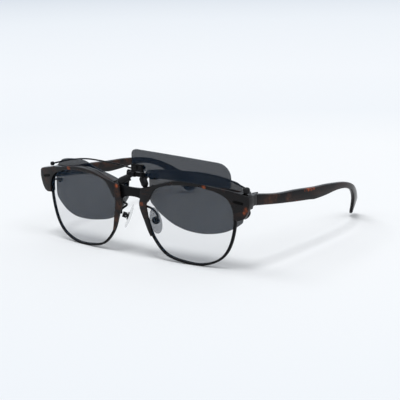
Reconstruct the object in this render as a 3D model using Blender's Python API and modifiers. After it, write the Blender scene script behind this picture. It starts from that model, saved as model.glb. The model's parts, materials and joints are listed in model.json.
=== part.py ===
"""Clip-on eyeglasses: a browline frame with clear lenses, and a clip-on that carries dark lenses.

The wearer's left is +X, +Y runs back along the temples and +Z is up. The glasses stand open on
the two rims and the two temple tips. The flat plans of the front are drawn as (across, up, deep):
across from the middle of the nose, up along the leaning front, and deep behind the brow's face.
"""

import math

import bmesh
import bpy
import numpy as np
from mathutils import Matrix, Vector

MM = 0.001
HAIR = 0.001 * MM
WELD = 0.01 * MM
AXIS_SIZE = 5 * MM
LEFT, RIGHT = 1, -1

# The whole front
FRONT_WIDTH = 144 * MM
FACE_RADIUS = 385 * MM
FRONT_LEAN = math.radians(1.2)
FRONT_SET = -3.2 * MM
SEAT_GAP = 0.3 * MM
CLOSE_GAP = 0.15 * MM
OVERRUN = 2 * MM
BEND_STEP = 5 * MM

# Lens opening, as shares of half its width and half its height, from its outer side over the top
OPENING_WIDTH = 55.4 * MM
OPENING_HEIGHT = 42 * MM
OPENING_ACROSS = 35.6 * MM
OPENING_SHARES = (
    (0.99, 0.214), (0.93, 0.662), (0.656, 0.901), (0.08, 1.00), (-0.51, 0.909), (-0.859, 0.654),
    (-1.00, 0.396), (-0.895, -0.038), (-0.756, -0.485), (-0.474, -0.862), (-0.055, -0.986),
    (0.337, -0.974), (0.685, -0.773), (0.89, -0.388),
)
OPENING_POINTS = 48

# Eyewire rims
RIM_WALL = 1.2 * MM
RIM_DEPTH = 1.7 * MM
RIM_SET = 1.1 * MM
RIM_CHAMFER = 0.3 * MM
GROOVE_DEPTH = 0.6 * MM
GROOVE_HALF = 0.5 * MM

# Clear lenses
LENS_THICKNESS = 1.4 * MM
LENS_DOME = 1.2 * MM
LENS_TONGUE = 0.55 * MM
LENS_TONGUE_HALF = 0.3 * MM
LENS_RING_SHARES = (0.68, 0.36)

# Brow pieces: the top edge as places across and up, then the outer end, then the nose tail
BROW_DEPTH = 4.8 * MM
BROW_WALL = 0.8 * MM
BROW_LIP = 0.25 * MM
BROW_TOP_SHARES = (
    (0.112, 0.860), (0.195, 0.893), (0.285, 0.935), (0.390, 0.980), (0.510, 1.000),
    (0.615, 0.988), (0.725, 0.964), (0.845, 0.940), (0.955, 0.908), (0.985, 0.898),
)
BROW_END_SHARES = (
    (1.000, 0.875), (1.003, 0.790), (0.985, 0.690), (0.958, 0.624), (0.925, 0.600),
)
BROW_NOSE_SHARES = (
    (0.093, 0.730), (0.095, 0.790), (0.102, 0.835),
)
BROW_HEIGHT = 45.6 * MM
BROW_TAIL_UP = 10 * MM
BROW_TAIL_TOP = 31 * MM
BROW_TAIL_LIP = 0.4 * MM
BROW_SHELF_ACROSS = 12.6 * MM
BROW_LOBE_ACROSS = 66.3 * MM
BROW_LOBE_UP = 33.4 * MM
BROW_LOBE_DEPTH = 2.4 * MM
RETURN_THICKNESS = 3.7 * MM
RETURN_INSET = 0.15 * MM
RETURN_TOP = 40.3 * MM
RETURN_BOTTOM = 34.5 * MM
RETURN_ROUNDING = 0.6 * MM
JOINT_BEHIND_BROW = 6.4 * MM

# Inlaid bars on the brow ends
INLAY_LENGTH = 5.4 * MM
INLAY_HEIGHT = 1.2 * MM
INLAY_PROUD = 0.25 * MM
INLAY_SINK = 0.5 * MM
INLAY_ACROSS = 66.3 * MM
INLAY_UP = 37 * MM
INLAY_TURN = math.radians(-9)

# Bridge between the rims
BRIDGE_DEPTH = 2.2 * MM
BRIDGE_SET = 2.1 * MM
BRIDGE_ROUNDING = 0.5 * MM
BRIDGE_HALF = 12.1 * MM
BRIDGE_UP = 38 * MM
BRIDGE_TOP_SHARES = ((0.0, 1.0), (0.4, 1.003), (0.7, 1.018), (1.0, 1.045))
BRIDGE_BOTTOM_SHARES = (
    (1.0, 0.775), (0.80, 0.750), (0.71, 0.758), (0.62, 0.798), (0.50, 0.842), (0.25, 0.866), (0.0, 0.870),
)

# Temples: reach, middle height and outward place as shares, with height and thickness shares
TEMPLE_REACH = 126.5 * MM
TEMPLE_MIDDLE = 37.6 * MM
TEMPLE_HEIGHT = 7.7 * MM
TEMPLE_THICKNESS = 3.8 * MM
TEMPLE_SPLAY = 4.2 * MM
TEMPLE_TUCK = 13.2 * MM
TEMPLE_CORNER = 0.95 * MM
TEMPLE_SHARES = (
    (0.000, 0.992, 0.79, 0.00, 0.000, 1.00), (0.147, 0.912, 0.73, 0.42, 0.000, 0.96),
    (0.290, 0.860, 0.85, 0.72, 0.000, 0.93), (0.385, 0.824, 0.87, 0.90, 0.000, 0.90),
    (0.425, 0.806, 0.90, 0.96, 0.000, 0.89), (0.470, 0.797, 0.87, 1.00, 0.000, 0.87),
    (0.535, 0.789, 0.79, 1.04, 0.000, 0.84), (0.615, 0.777, 0.60, 1.06, 0.000, 0.80),
    (0.695, 0.747, 0.50, 1.06, 0.025, 0.77), (0.760, 0.698, 0.475, 1.05, 0.075, 0.74),
    (0.819, 0.624, 0.50, 1.04, 0.170, 0.72), (0.873, 0.518, 0.62, 1.03, 0.330, 0.70),
    (0.917, 0.400, 0.82, 1.02, 0.500, 0.67), (0.953, 0.286, 0.99, 1.01, 0.680, 0.64),
    (0.980, 0.196, 1.06, 1.00, 0.830, 0.62), (0.997, 0.140, 0.98, 1.00, 0.940, 0.58),
    (1.008, 0.101, 0.72, 1.00, 1.010, 0.48), (1.013, 0.082, 0.36, 1.00, 1.045, 0.26),
)
TEMPLE_STATIONS = 26
CORE_HEIGHT = 1.9 * MM
CORE_THICKNESS = 0.9 * MM
CORE_START = 3 * MM
CORE_END = 104 * MM

# Three-barrel hinges between the brow returns and the temples
HINGE_INSET = 1.7 * MM
HINGE_RADIUS = 1.5 * MM
HINGE_BORE = 0.95 * MM
HINGE_SCREW_RADIUS = 0.7 * MM
HINGE_HEIGHT = 5.4 * MM
HINGE_LEAF = 0.8 * MM
HINGE_LEAF_LENGTH = 5 * MM
FRONT_LEAF_LENGTH = 1.5 * MM
HINGE_LEAF_CLEAR = 1.7 * MM
HINGE_HEAD_RADIUS = 1.35 * MM
HINGE_HEAD_HEIGHT = 0.55 * MM
SLOT_WIDTH = 0.3 * MM
SLOT_DEPTH = 0.25 * MM

# Nose pads on their arms
PAD_TOP = (6.8 * MM, 7.5 * MM, 26 * MM)
PAD_BOTTOM = (11.8 * MM, 5.2 * MM, 12.2 * MM)
PAD_SPLAY = math.radians(38)
PAD_WIDTH = 6.8 * MM
PAD_THICKNESS = 2.4 * MM
PAD_BACK_SHARE = 0.3
PAD_PLATE_RADIUS = 2.2 * MM
PAD_PLATE_THICKNESS = 0.5 * MM
PAD_LUG = 0.8 * MM
PAD_LUG_RADIUS = 0.95 * MM
PAD_LUG_REACH = 2 * MM
PAD_BOX_WALL = 0.5 * MM
PAD_SCREW_RADIUS = 0.35 * MM
PAD_SCREW_HEAD = 0.75 * MM
PAD_HOLE_RADIUS = 0.5 * MM
PAD_ARM_RADIUS = 0.45 * MM
PAD_ARM_UP = 28.6 * MM
PAD_ARM_BULGE = (8.8 * MM, 4.1 * MM, 26.2 * MM)
PAD_ARM_POINTS = 16

# Clip-on: its centre barrel, end knobs and the legs that stand on the bridge
BARREL_LENGTH = 8.4 * MM
BARREL_RADIUS = 1.65 * MM
BARREL_WAIST = 1.3 * MM
BARREL_BACK = 4.7 * MM
BARREL_UP = 44.1 * MM
KNOB_RADIUS = 1.9 * MM
KNOB_LENGTH = 1.5 * MM
LEG_RADIUS = 0.6 * MM
LEG_ACROSS = 8.2 * MM
LEG_TOP_SHARE = 0.22
LEG_LIFT = 0.75 * MM
SLEEVE_RADIUS = 1.3 * MM
SLEEVE_SHARE = 0.55

# Clip-on: dark lower lenses, as shares of half their width and half their height
CLIP_LENS_WIDTH = 57.9 * MM
CLIP_LENS_HEIGHT = 34 * MM
CLIP_LENS_ACROSS = 35.85 * MM
CLIP_LENS_UP = 32.2 * MM
CLIP_LENS_THICKNESS = 1.0 * MM
CLIP_RADIUS = 555 * MM
LEFT_LENS_SHARES = (
    (1.00, -0.376), (1.00, 0.10), (1.00, 0.565), (0.983, 0.67), (0.90, 0.794), (0.744, 0.859), (0.43, 0.918),
    (0.105, 0.959), (-0.23, 0.965), (-0.623, 0.947), (-0.92, 0.906), (-0.979, 0.829), (-0.985, 0.35),
    (-0.976, -0.088), (-0.869, -0.294), (-0.724, -0.50), (-0.472, -0.747), (-0.192, -0.894),
    (0.126, -0.941), (0.375, -0.906), (0.596, -0.824), (0.775, -0.70), (0.934, -0.529),
)
RIGHT_LENS_SHARES = (
    (1.00, -0.376), (1.00, 0.10), (1.00, 0.565), (0.97, 0.57), (0.87, 0.72), (0.744, 0.859), (0.43, 0.918),
    (0.16, 0.90), (-0.06, 0.78), (-0.271, 0.665), (-0.548, 0.547), (-0.80, 0.41), (-0.95, 0.28),
    (-0.985, 0.16), (-0.96, -0.09), (-0.86, -0.34), (-0.742, -0.62), (-0.634, -0.80), (-0.461, -0.94),
    (-0.192, -1.035),
    (0.085, -1.09), (0.368, -1.09), (0.55, -1.03), (0.70, -0.925), (0.83, -0.765), (0.948, -0.575),
)
CLIP_LENS_POINTS = 56
WIRE_RADIUS = 0.45 * MM
WIRE_ROUTE_SHARES = (
    (0.105, 0.965), (0.25, 0.988), (0.45, 1.0), (0.62, 0.998), (0.79, 0.975), (0.895, 0.948), (0.95, 0.932),
)
LEFT_WIRE_ACROSS = 69.6 * MM
RIGHT_WIRE_ACROSS = 64.2 * MM
WIRE_DROP = 0.7 * MM
WIRE_POINTS = 40
GRIP_BACK = 4.8 * MM
GRIP_LIFT = 0.4 * MM
GRIP_RADIUS = 1.8 * MM
GRIP_HEIGHT = 3.1 * MM
GRIP_SHARES = (
    (0.0, 1.0), (0.55, 1.0), (0.85, 0.75), (1.0, 0.3), (1.0, -0.3), (0.85, -0.8), (0.6, -1.0), (0.0, -1.0),
)
HOOK_RADIUS = 0.5 * MM
HOOK_START = (61.6 * MM, 33.6 * MM)
HOOK_ROUTE = (
    (64.4 * MM, 9.9 * MM, 33.6 * MM), (67.4 * MM, 8.5 * MM, 33.1 * MM), (69.6 * MM, 6.9 * MM, 32.6 * MM),
    (70.3 * MM, 6.5 * MM, 31.1 * MM), (69.3 * MM, 6.3 * MM, 29.2 * MM), (67.4 * MM, 6.4 * MM, 27.9 * MM),
)
CLIP_PLATE_LENGTH = 7 * MM
CLIP_PLATE_HEIGHT = 3.6 * MM
CLIP_PLATE_THICKNESS = 0.7 * MM
LEFT_RIVET_PLACE = (11.3 * MM, 44.1 * MM)
RIGHT_RIVET_PLACE = (11 * MM, 36.8 * MM)
RIGHT_PLATE_SHARES = (
    (0.00, 1.00), (0.00, 0.66), (0.18, 0.58), (0.30, 0.36), (0.36, 0.06), (0.46, 0.00), (0.90, 0.00),
    (1.00, 0.08), (1.00, 0.26), (0.90, 0.36), (0.66, 0.52), (0.50, 0.72), (0.44, 0.94), (0.36, 1.00),
)
RIVET_RADIUS = 0.55 * MM
RIVET_HEAD_RADIUS = 1.15 * MM
RIVET_HEAD = 0.45 * MM

# Clip-on: the lens that flips, and its hinge
FLIP_LENS_WIDTH = 64.6 * MM
FLIP_LENS_ACROSS = 36 * MM
FLIP_LENS_FALL = 2.1 * MM
FLIP_LENS_BOTTOM = 46.3 * MM
FLIP_LENS_HEIGHT = 14.2 * MM
FLIP_LENS_THICKNESS = 1.0 * MM
FLIP_LENS_SET = 0.9 * MM
FLIP_LENS_RADIUS = 1000 * MM
FLIP_INNER_CORNER = 3 * MM
FLIP_OUTER_CORNER = 8 * MM
FLIP_LOWER_CORNER = 2 * MM
FLIP_NOTCH_ACROSS = 12.9 * MM
FLIP_NOTCH_RISE = 2.6 * MM
FLIP_BACK = -6 * MM
FLIP_UP = 46.9 * MM
FLIP_EAR_INNER = 2.4 * MM
FLIP_EAR_OUTER = 11.6 * MM
FLIP_EAR = 1.2 * MM
FLIP_EAR_RADIUS = 1.5 * MM
FLIP_PIN_RADIUS = 0.6 * MM
FLIP_BORE = 0.85 * MM
FLIP_PIN_HEAD = 1.05 * MM
FLIP_LUG_KNUCKLE = 2.2 * MM
FLIP_LUG_THICKNESS = 0.75 * MM
FLIP_LUG_TOP = 52.6 * MM
FLIP_RIVET_UP = 50.8 * MM
FLIP_RIVET_ACROSS = (7.2 * MM, 10.8 * MM)
FLIP_STRAP = 0.9 * MM
FLIP_STRAP_WIDTH = 4 * MM
SPRING_TURNS = 4
SPRING_RADIUS = 1.05 * MM
SPRING_WIRE = 0.18 * MM
SPRING_POINTS_PER_TURN = 10

ROUND_STEPS = 16
SMALL_STEPS = 12
TUBE_RESOLUTION = 1


def opening_up():
    """Height of the lens opening's centre up the front: the rims stand on the ground."""
    return RIM_WALL + OPENING_HEIGHT / 2


def joint_back():
    """Where the brow's return ends and the temple starts, behind the brow's face."""
    return BROW_DEPTH + JOINT_BEHIND_BROW


def on_front(across, up, deep):
    """World place of a plan point on the leaning, gently curved front."""
    lean, upright = math.sin(FRONT_LEAN), math.cos(FRONT_LEAN)
    curve = across * across / (2 * FACE_RADIUS)
    back = curve - up * lean + (deep + FRONT_SET) * upright
    return Vector((across, back, up * upright + (deep - RIM_SET) * lean))


def on_clip(across, up, deep):
    """World place of a plan point on the clip-on's upright, curved lens surface."""
    return Vector((across, BARREL_BACK + across * across / (2 * CLIP_RADIUS) + deep, up))


def on_flip(across, up, deep):
    """World place of a plan point on the raised flip lens, which curves the other way."""
    return Vector((across, FLIP_BACK + FLIP_LENS_SET - across * across / (2 * FLIP_LENS_RADIUS) + deep, up))


def clear_scene():
    for item in list(bpy.data.objects):
        bpy.data.objects.remove(item, do_unlink=True)


def make_collection(name):
    collection = bpy.data.collections.new(name)
    bpy.context.scene.collection.children.link(collection)
    return collection


def make_material(name, color, roughness, metallic=0.0, alpha=1.0):
    material = bpy.data.materials.new(name)
    material.use_nodes = True
    shader = material.node_tree.nodes["Principled BSDF"]
    shader.inputs["Base Color"].default_value = (*color, 1.0)
    shader.inputs["Roughness"].default_value = roughness
    shader.inputs["Metallic"].default_value = metallic
    shader.inputs["Alpha"].default_value = alpha
    return material


# Outlines

def smooth_closed(points, count):
    """Evenly spaced points of the closed Catmull-Rom curve through the given ones."""
    control = np.asarray(points, float)
    size = len(control)
    fine = []
    steps = np.linspace(0.0, 1.0, 24, endpoint=False)
    for i in range(size):
        a, b, c, d = (control[(i + k) % size] for k in (-1, 0, 1, 2))
        for t in steps:
            fine.append(spline(a, b, c, d, t))
    fine.append(fine[0])
    return spaced(np.array(fine), count + 1)[:-1]


def smooth_open(points, count):
    """Evenly spaced points of the open Catmull-Rom curve through the given ones."""
    control = np.asarray(points, float)
    padded = np.vstack([2 * control[0] - control[1], control, 2 * control[-1] - control[-2]])
    fine = []
    for a, b, c, d in zip(padded, padded[1:], padded[2:], padded[3:]):
        for t in np.linspace(0.0, 1.0, 24, endpoint=False):
            fine.append(spline(a, b, c, d, t))
    fine.append(control[-1])
    return spaced(np.array(fine), count)


def spline(a, b, c, d, t):
    """Catmull-Rom point between b and c."""
    square = 2 * a - 5 * b + 4 * c - d
    cube = 3 * b - a - 3 * c + d
    return 0.5 * (2 * b + (c - a) * t + square * t * t + cube * t ** 3)


def spaced(line, count):
    """Points at even lengths along a fine polyline."""
    lengths = np.r_[0.0, np.cumsum(np.linalg.norm(np.diff(line, axis=0), axis=1))]
    wanted = np.linspace(0.0, lengths[-1], count)
    return np.stack([np.interp(wanted, lengths, line[:, k]) for k in range(line.shape[1])], axis=1)


def grown(outline, distance):
    """A closed counter-clockwise outline moved outwards by a distance."""
    outline = np.asarray(outline, float)
    tangent = np.roll(outline, -1, axis=0) - np.roll(outline, 1, axis=0)
    tangent /= np.linalg.norm(tangent, axis=1)[:, None]
    return outline + distance * np.stack([tangent[:, 1], -tangent[:, 0]], axis=1)


def shares_outline(shares, width, height, across, up, count):
    half = np.array([width / 2, height / 2])
    return smooth_closed(np.array(shares) * half + [across, up], count)


def rounded_rectangle(width, height, corners, steps):
    """Closed outline from the lower left corner round, with a radius for each corner."""
    centres = ((-1, -1, 180), (1, -1, 270), (1, 1, 0), (-1, 1, 90))
    outline = []
    for (sx, sy, start), radius in zip(centres, corners):
        for k in range(steps + 1):
            turn = math.radians(start + 90 * k / steps)
            outline.append((sx * (width / 2 - radius) + radius * math.cos(turn),
                            sy * (height / 2 - radius) + radius * math.sin(turn)))
    return np.array(outline)


# Solids

def bare_object(name, mesh):
    item = bpy.data.objects.new(name, mesh)
    bpy.context.scene.collection.objects.link(item)
    return item


def close_shape(shape, mesh):
    """Writes a closed shape to a mesh with all its faces turned outwards."""
    bmesh.ops.recalc_face_normals(shape, faces=shape.faces)
    if shape.calc_volume(signed=True) < 0:
        bmesh.ops.reverse_faces(shape, faces=shape.faces)
    shape.to_mesh(mesh)
    shape.free()


def baked(item):
    """The object as a plain mesh, with its curve or modifiers worked out and its caps welded."""
    graph = bpy.context.evaluated_depsgraph_get()
    mesh = bpy.data.meshes.new_from_object(item.evaluated_get(graph))
    shape = bmesh.new()
    shape.from_mesh(mesh)
    bmesh.ops.remove_doubles(shape, verts=shape.verts, dist=HAIR)
    bmesh.ops.transform(shape, matrix=item.matrix_world, verts=shape.verts)
    close_shape(shape, mesh)
    name = item.name
    bpy.data.objects.remove(item, do_unlink=True)
    return bare_object(name, mesh)


def prism(name, outline, front, back, rounding=0.0, holes=()):
    """A flat outline with any holes, drawn in the XY plane and made solid between two depths."""
    data = bpy.data.curves.new(name, "CURVE")
    data.dimensions = "2D"
    data.fill_mode = "BOTH"
    data.extrude = (back - front) / 2
    for edge in (outline, *holes):
        line = data.splines.new("POLY")
        line.points.add(len(edge) - 1)
        for point, (x, y) in zip(line.points, edge):
            point.co = (x, y, 0.0, 1.0)
        line.use_cyclic_u = True
    item = bare_object(name, data)
    item.location.z = (front + back) / 2
    bpy.context.view_layer.update()
    solid = baked(item)
    return rounded(solid, rounding) if rounding else solid


def rounded(solid, rounding):
    """The solid with its sharp edges rounded."""
    bevel = solid.modifiers.new("Rounding", "BEVEL")
    bevel.width = rounding
    bevel.segments = 2
    bevel.limit_method = "ANGLE"
    bevel.angle_limit = math.radians(60)
    return baked(solid)


def box(name, low, high, rounding=0.0):
    shape = bmesh.new()
    bmesh.ops.create_cube(shape, size=1.0)
    low, high = Vector(low), Vector(high)
    fit = Matrix.Translation((low + high) / 2) @ Matrix.Diagonal((*(high - low), 1.0))
    bmesh.ops.transform(shape, matrix=fit, verts=shape.verts)
    mesh = bpy.data.meshes.new(name)
    shape.to_mesh(mesh)
    shape.free()
    solid = bare_object(name, mesh)
    return rounded(solid, rounding) if rounding else solid


def turned(name, profile, steps=SMALL_STEPS):
    """A profile of (radius, height), from the top down its outer side, turned about Z."""
    mesh = bpy.data.meshes.new(name)
    edges = [(i, i + 1) for i in range(len(profile) - 1)]
    mesh.from_pydata([(radius, 0.0, height) for radius, height in profile], edges, [])
    item = bare_object(name, mesh)
    screw = item.modifiers.new("Turn", "SCREW")
    screw.steps = steps
    screw.render_steps = steps
    screw.use_merge_vertices = True
    screw.merge_threshold = WELD
    return baked(item)


def rod(name, radius, low, high, steps=SMALL_STEPS):
    return turned(name, ((0.0, high), (radius, high), (radius, low), (0.0, low)), steps)


def tube(name, points, radius, resolution=TUBE_RESOLUTION):
    """A round wire along points, as a curve with filled ends."""
    data = bpy.data.curves.new(name, "CURVE")
    data.dimensions = "3D"
    data.bevel_depth = radius
    data.bevel_resolution = resolution
    data.use_fill_caps = True
    line = data.splines.new("POLY")
    line.points.add(len(points) - 1)
    for point, place in zip(line.points, points):
        point.co = (*place, 1.0)
    return bare_object(name, data)


def loft(name, sections, closed=False):
    """A skin over rings of points, closed round to the first ring or capped at both ends."""
    shape = bmesh.new()
    rings = [[shape.verts.new(place) for place in section] for section in sections]
    pairs = list(zip(rings, rings[1:]))
    if closed:
        pairs.append((rings[-1], rings[0]))
    else:
        shape.faces.new(rings[0])
        shape.faces.new(rings[-1])
    for one, other in pairs:
        for k in range(len(one)):
            following = (k + 1) % len(one)
            shape.faces.new((one[k], one[following], other[following], other[k]))
    mesh = bpy.data.meshes.new(name)
    close_shape(shape, mesh)
    return bare_object(name, mesh)


def combined(solid, tool, operation):
    """The solid with the tool's shape joined to it or cut from it. The tool is used up."""
    change = solid.modifiers.new(operation.title(), "BOOLEAN")
    change.operation = operation
    change.object = tool
    result = baked(solid)
    bpy.data.objects.remove(tool, do_unlink=True)
    return result


def cut(solid, tool):
    return combined(solid, tool, "DIFFERENCE")


def joined(solid, tool):
    return combined(solid, tool, "UNION")


def moved(solid, matrix):
    """The solid with its mesh carried by a matrix; a mirrored one is turned right side out."""
    solid.data.transform(matrix)
    if matrix.determinant() < 0:
        solid.data.flip_normals()
    return solid


def mapped(solid, place, side, step=BEND_STEP):
    """Bends a flat solid onto a curved surface, after slicing it across so that it can bend."""
    shape = bmesh.new()
    shape.from_mesh(solid.data)
    bmesh.ops.dissolve_limit(shape, angle_limit=math.radians(0.5), verts=shape.verts, edges=shape.edges)
    low = min(vert.co.x for vert in shape.verts)
    high = max(vert.co.x for vert in shape.verts)
    for k in range(math.ceil(low / step), math.ceil(high / step)):
        geometry = list(shape.verts) + list(shape.edges) + list(shape.faces)
        bmesh.ops.bisect_plane(shape, geom=geometry, plane_co=(k * step, 0, 0), plane_no=(1, 0, 0))
    for vert in shape.verts:
        x, y, z = place(*vert.co)
        vert.co = (side * x, y, z)
    close_shape(shape, solid.data)
    return solid


def frame_of(along, up_hint):
    """A rotation whose Z runs along a direction and whose X is as near the hint as it can be."""
    z = Vector(along).normalized()
    x = (Vector(up_hint) - z * z.dot(Vector(up_hint))).normalized()
    return Matrix((x, z.cross(x), z)).transposed().to_4x4()


def placed(place, along, hint=(0.0, 0.0, 1.0)):
    return Matrix.Translation(place) @ frame_of(along, hint)


def mirror(side):
    return Matrix.Diagonal((side, 1.0, 1.0, 1.0))


def side_name(name, side):
    return name + ("_left" if side == LEFT else "_right")


class Assembly:
    """Keeps every finished piece, with its material and the empty on the axis that carries it."""

    def __init__(self, name):
        self.collection = make_collection(name)
        self.base = self.empty(name + "_base", Matrix.Identity(4), None)

    def empty(self, name, matrix, parent):
        item = bpy.data.objects.new(name, None)
        item.empty_display_size = AXIS_SIZE
        self.collection.objects.link(item)
        item.parent = parent
        item.matrix_world = matrix
        bpy.context.view_layer.update()
        return item

    def keep(self, item, material, carrier=None):
        """Takes a finished piece in, shaded smooth apart from its sharp edges."""
        if item.type == "MESH":
            item.data.shade_smooth()
            item.data.set_sharp_from_angle(angle=math.radians(35))
        item.data.materials.clear()
        item.data.materials.append(material)
        for collection in list(item.users_collection):
            collection.objects.unlink(item)
        self.collection.objects.link(item)
        carrier = carrier or self.base
        item.parent = carrier
        item.matrix_parent_inverse = carrier.matrix_world.inverted()
        return item


# The frame's front

def opening_outline():
    return shares_outline(
        OPENING_SHARES, OPENING_WIDTH, OPENING_HEIGHT, OPENING_ACROSS, opening_up(), OPENING_POINTS
    )


def ring_loops(outline, profile, place, side):
    """Rings of an outline, each grown by its first value and set at the depth of its second."""
    loops = []
    for growth, deep in profile:
        ring = grown(outline, growth)
        loops.append([mirror(side) @ place(across, up, deep) for across, up in ring])
    return loops


def build_rim(side):
    """A closed eyewire with a V groove round its inside for the lens edge."""
    middle = RIM_SET + RIM_DEPTH / 2
    half = RIM_DEPTH / 2
    profile = (
        (0.0, middle - half), (0.0, middle - GROOVE_HALF), (GROOVE_DEPTH, middle),
        (0.0, middle + GROOVE_HALF), (0.0, middle + half),
        (RIM_WALL - RIM_CHAMFER, middle + half), (RIM_WALL, middle + half - RIM_CHAMFER),
        (RIM_WALL, middle - half + RIM_CHAMFER), (RIM_WALL - RIM_CHAMFER, middle - half),
    )
    return loft(side_name("rim", side), ring_loops(opening_outline(), profile, on_front, side), closed=True)


def domed_lens(name, outline, edge_profile, thickness, dome, place, side, middle):
    """A lens whose faces bulge forwards inside an edge of several rings."""
    centre = outline.mean(axis=0)

    def inner_ring(share, face):
        deep = middle + face * thickness / 2 - dome * (1 - share * share)
        shrunk = centre + (grown(outline, edge_profile[0][0]) - centre) * share
        return [mirror(side) @ place(across, up, deep) for across, up in shrunk]

    tip_share = 0.08
    front = [inner_ring(share, -1) for share in (tip_share, *reversed(LENS_RING_SHARES))]
    back = [inner_ring(share, 1) for share in (*LENS_RING_SHARES, tip_share)]
    edge = ring_loops(outline, edge_profile, place, side)
    return loft(name, front + edge + back)


def build_lens(side):
    middle = RIM_SET + RIM_DEPTH / 2
    half = LENS_THICKNESS / 2
    inside = -CLOSE_GAP
    edge = (
        (inside, middle - half), (inside, middle - LENS_TONGUE_HALF), (inside + LENS_TONGUE, middle),
        (inside, middle + LENS_TONGUE_HALF), (inside, middle + half),
    )
    name = side_name("lens", side)
    return domed_lens(name, opening_outline(), edge, LENS_THICKNESS, LENS_DOME, on_front, side, middle)


def brow_outline():
    """The brow seen from the front: top edge, outer end, lens opening and the nose tail."""
    scale = np.array([FRONT_WIDTH / 2, BROW_HEIGHT])
    nose = np.array(BROW_NOSE_SHARES) * scale
    top = np.array(BROW_TOP_SHARES) * scale
    end = np.array(BROW_END_SHARES) * scale
    lip = grown(opening_outline(), BROW_LIP)
    highest = int(np.argmax(lip[:, 1]))
    outer_side = [point for point in lip[:highest] if point[1] > end[-1][1]]
    nose_side = lip[highest:][: int(np.argmax(lip[highest:, 1] < BROW_TAIL_UP))]
    narrowing = (BROW_TAIL_TOP - nose_side[:, 1:]) / (BROW_TAIL_TOP - BROW_TAIL_UP)
    narrowing = np.clip(narrowing, 0.0, 1.0)
    inner_side = grown(opening_outline(), BROW_TAIL_LIP)[highest:][: len(nose_side)]
    nose_side = nose_side * (1 - narrowing) + inner_side * narrowing
    outer = grown(opening_outline(), RIM_WALL + CLOSE_GAP)[highest:]
    by_nose = [point for point in outer if point[0] < OPENING_ACROSS]
    tail = [point for point in by_nose if BROW_TAIL_UP < point[1] < BROW_TAIL_TOP][::-1]
    top_line = smooth_open(np.vstack([tail[-1:], nose, top]), 30)[1:]
    end_line = smooth_open(end, 9)
    return np.vstack([tail, top_line, end_line, outer_side, nose_side])


def build_brow(side):
    """A brow piece, hollowed behind to sit over its rim, with a return that meets the temple."""
    name = side_name("brow", side)
    brow = prism(name, brow_outline(), 0.0, BROW_DEPTH)
    channel = grown(opening_outline(), RIM_WALL + SEAT_GAP)
    brow = cut(brow, prism("channel", channel, BROW_WALL, BROW_DEPTH + OVERRUN))
    relief_low = (-OVERRUN, 0.0, BROW_WALL + CLOSE_GAP / 3)
    relief_high = (BROW_SHELF_ACROSS, BROW_HEIGHT + OVERRUN, BROW_DEPTH + OVERRUN)
    brow = cut(brow, box("relief", relief_low, relief_high))
    lobe_low = (BROW_LOBE_ACROSS, 0.0, BROW_LOBE_DEPTH)
    lobe_high = (FRONT_WIDTH, BROW_LOBE_UP, BROW_DEPTH + OVERRUN)
    brow = cut(brow, box("lobe_relief", lobe_low, lobe_high))
    outer = FRONT_WIDTH / 2 - RETURN_INSET
    tail = box("return", (outer - RETURN_THICKNESS, RETURN_BOTTOM, BROW_WALL + OVERRUN),
               (outer, RETURN_TOP, joint_back() + OVERRUN), RETURN_ROUNDING)
    brow = joined(brow, tail)
    brow = cut(brow, inlay_solid("pocket", CLOSE_GAP, 0.0, INLAY_SINK))
    brow = mapped(brow, on_front, side)
    trim_behind(brow, joint_back() - CLOSE_GAP)
    return brow


def trim_behind(solid, back):
    """Cuts away what lies further back than a plane, and closes the cut."""
    shape = bmesh.new()
    shape.from_mesh(solid.data)
    geometry = list(shape.verts) + list(shape.edges) + list(shape.faces)
    found = bmesh.ops.bisect_plane(
        shape, geom=geometry, plane_co=(0, back, 0), plane_no=(0, 1, 0), clear_outer=True)
    rim = [item for item in found["geom_cut"] if isinstance(item, bmesh.types.BMEdge)]
    bmesh.ops.contextual_create(shape, geom=rim)
    close_shape(shape, solid.data)


def inlay_solid(name, growth, proud, sink):
    """The bar let into the brow's face, or its pocket when grown."""
    length, height = INLAY_LENGTH + 2 * growth, INLAY_HEIGHT + 2 * growth
    outline = rounded_rectangle(length, height, (INLAY_HEIGHT / 2,) * 4, 3)
    cosine, sine = math.cos(INLAY_TURN), math.sin(INLAY_TURN)
    turn = np.array([[cosine, -sine], [sine, cosine]])
    outline = outline @ turn.T + [INLAY_ACROSS, INLAY_UP]
    start = -OVERRUN if growth else -proud
    return prism(name, outline, start, sink)


def build_inlay(side):
    bar = inlay_solid(side_name("end_inlay", side), 0.0, INLAY_PROUD, INLAY_SINK - CLOSE_GAP)
    return mapped(bar, on_front, side)


def slotted_screw(name, head_radius, head_height, shank_radius, length, steps=SMALL_STEPS):
    """A screw with its head's top at zero and its shank pointing down, slotted across."""
    screw = turned(name, (
        (0.0, 0.0), (head_radius, 0.0), (head_radius, -head_height), (shank_radius, -head_height),
        (shank_radius, -head_height - length), (0.0, -head_height - length),
    ), steps)
    low = (-head_radius - OVERRUN, -SLOT_WIDTH / 2, -SLOT_DEPTH)
    high = (head_radius + OVERRUN, SLOT_WIDTH / 2, OVERRUN)
    return cut(screw, box("slot", low, high))


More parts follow.
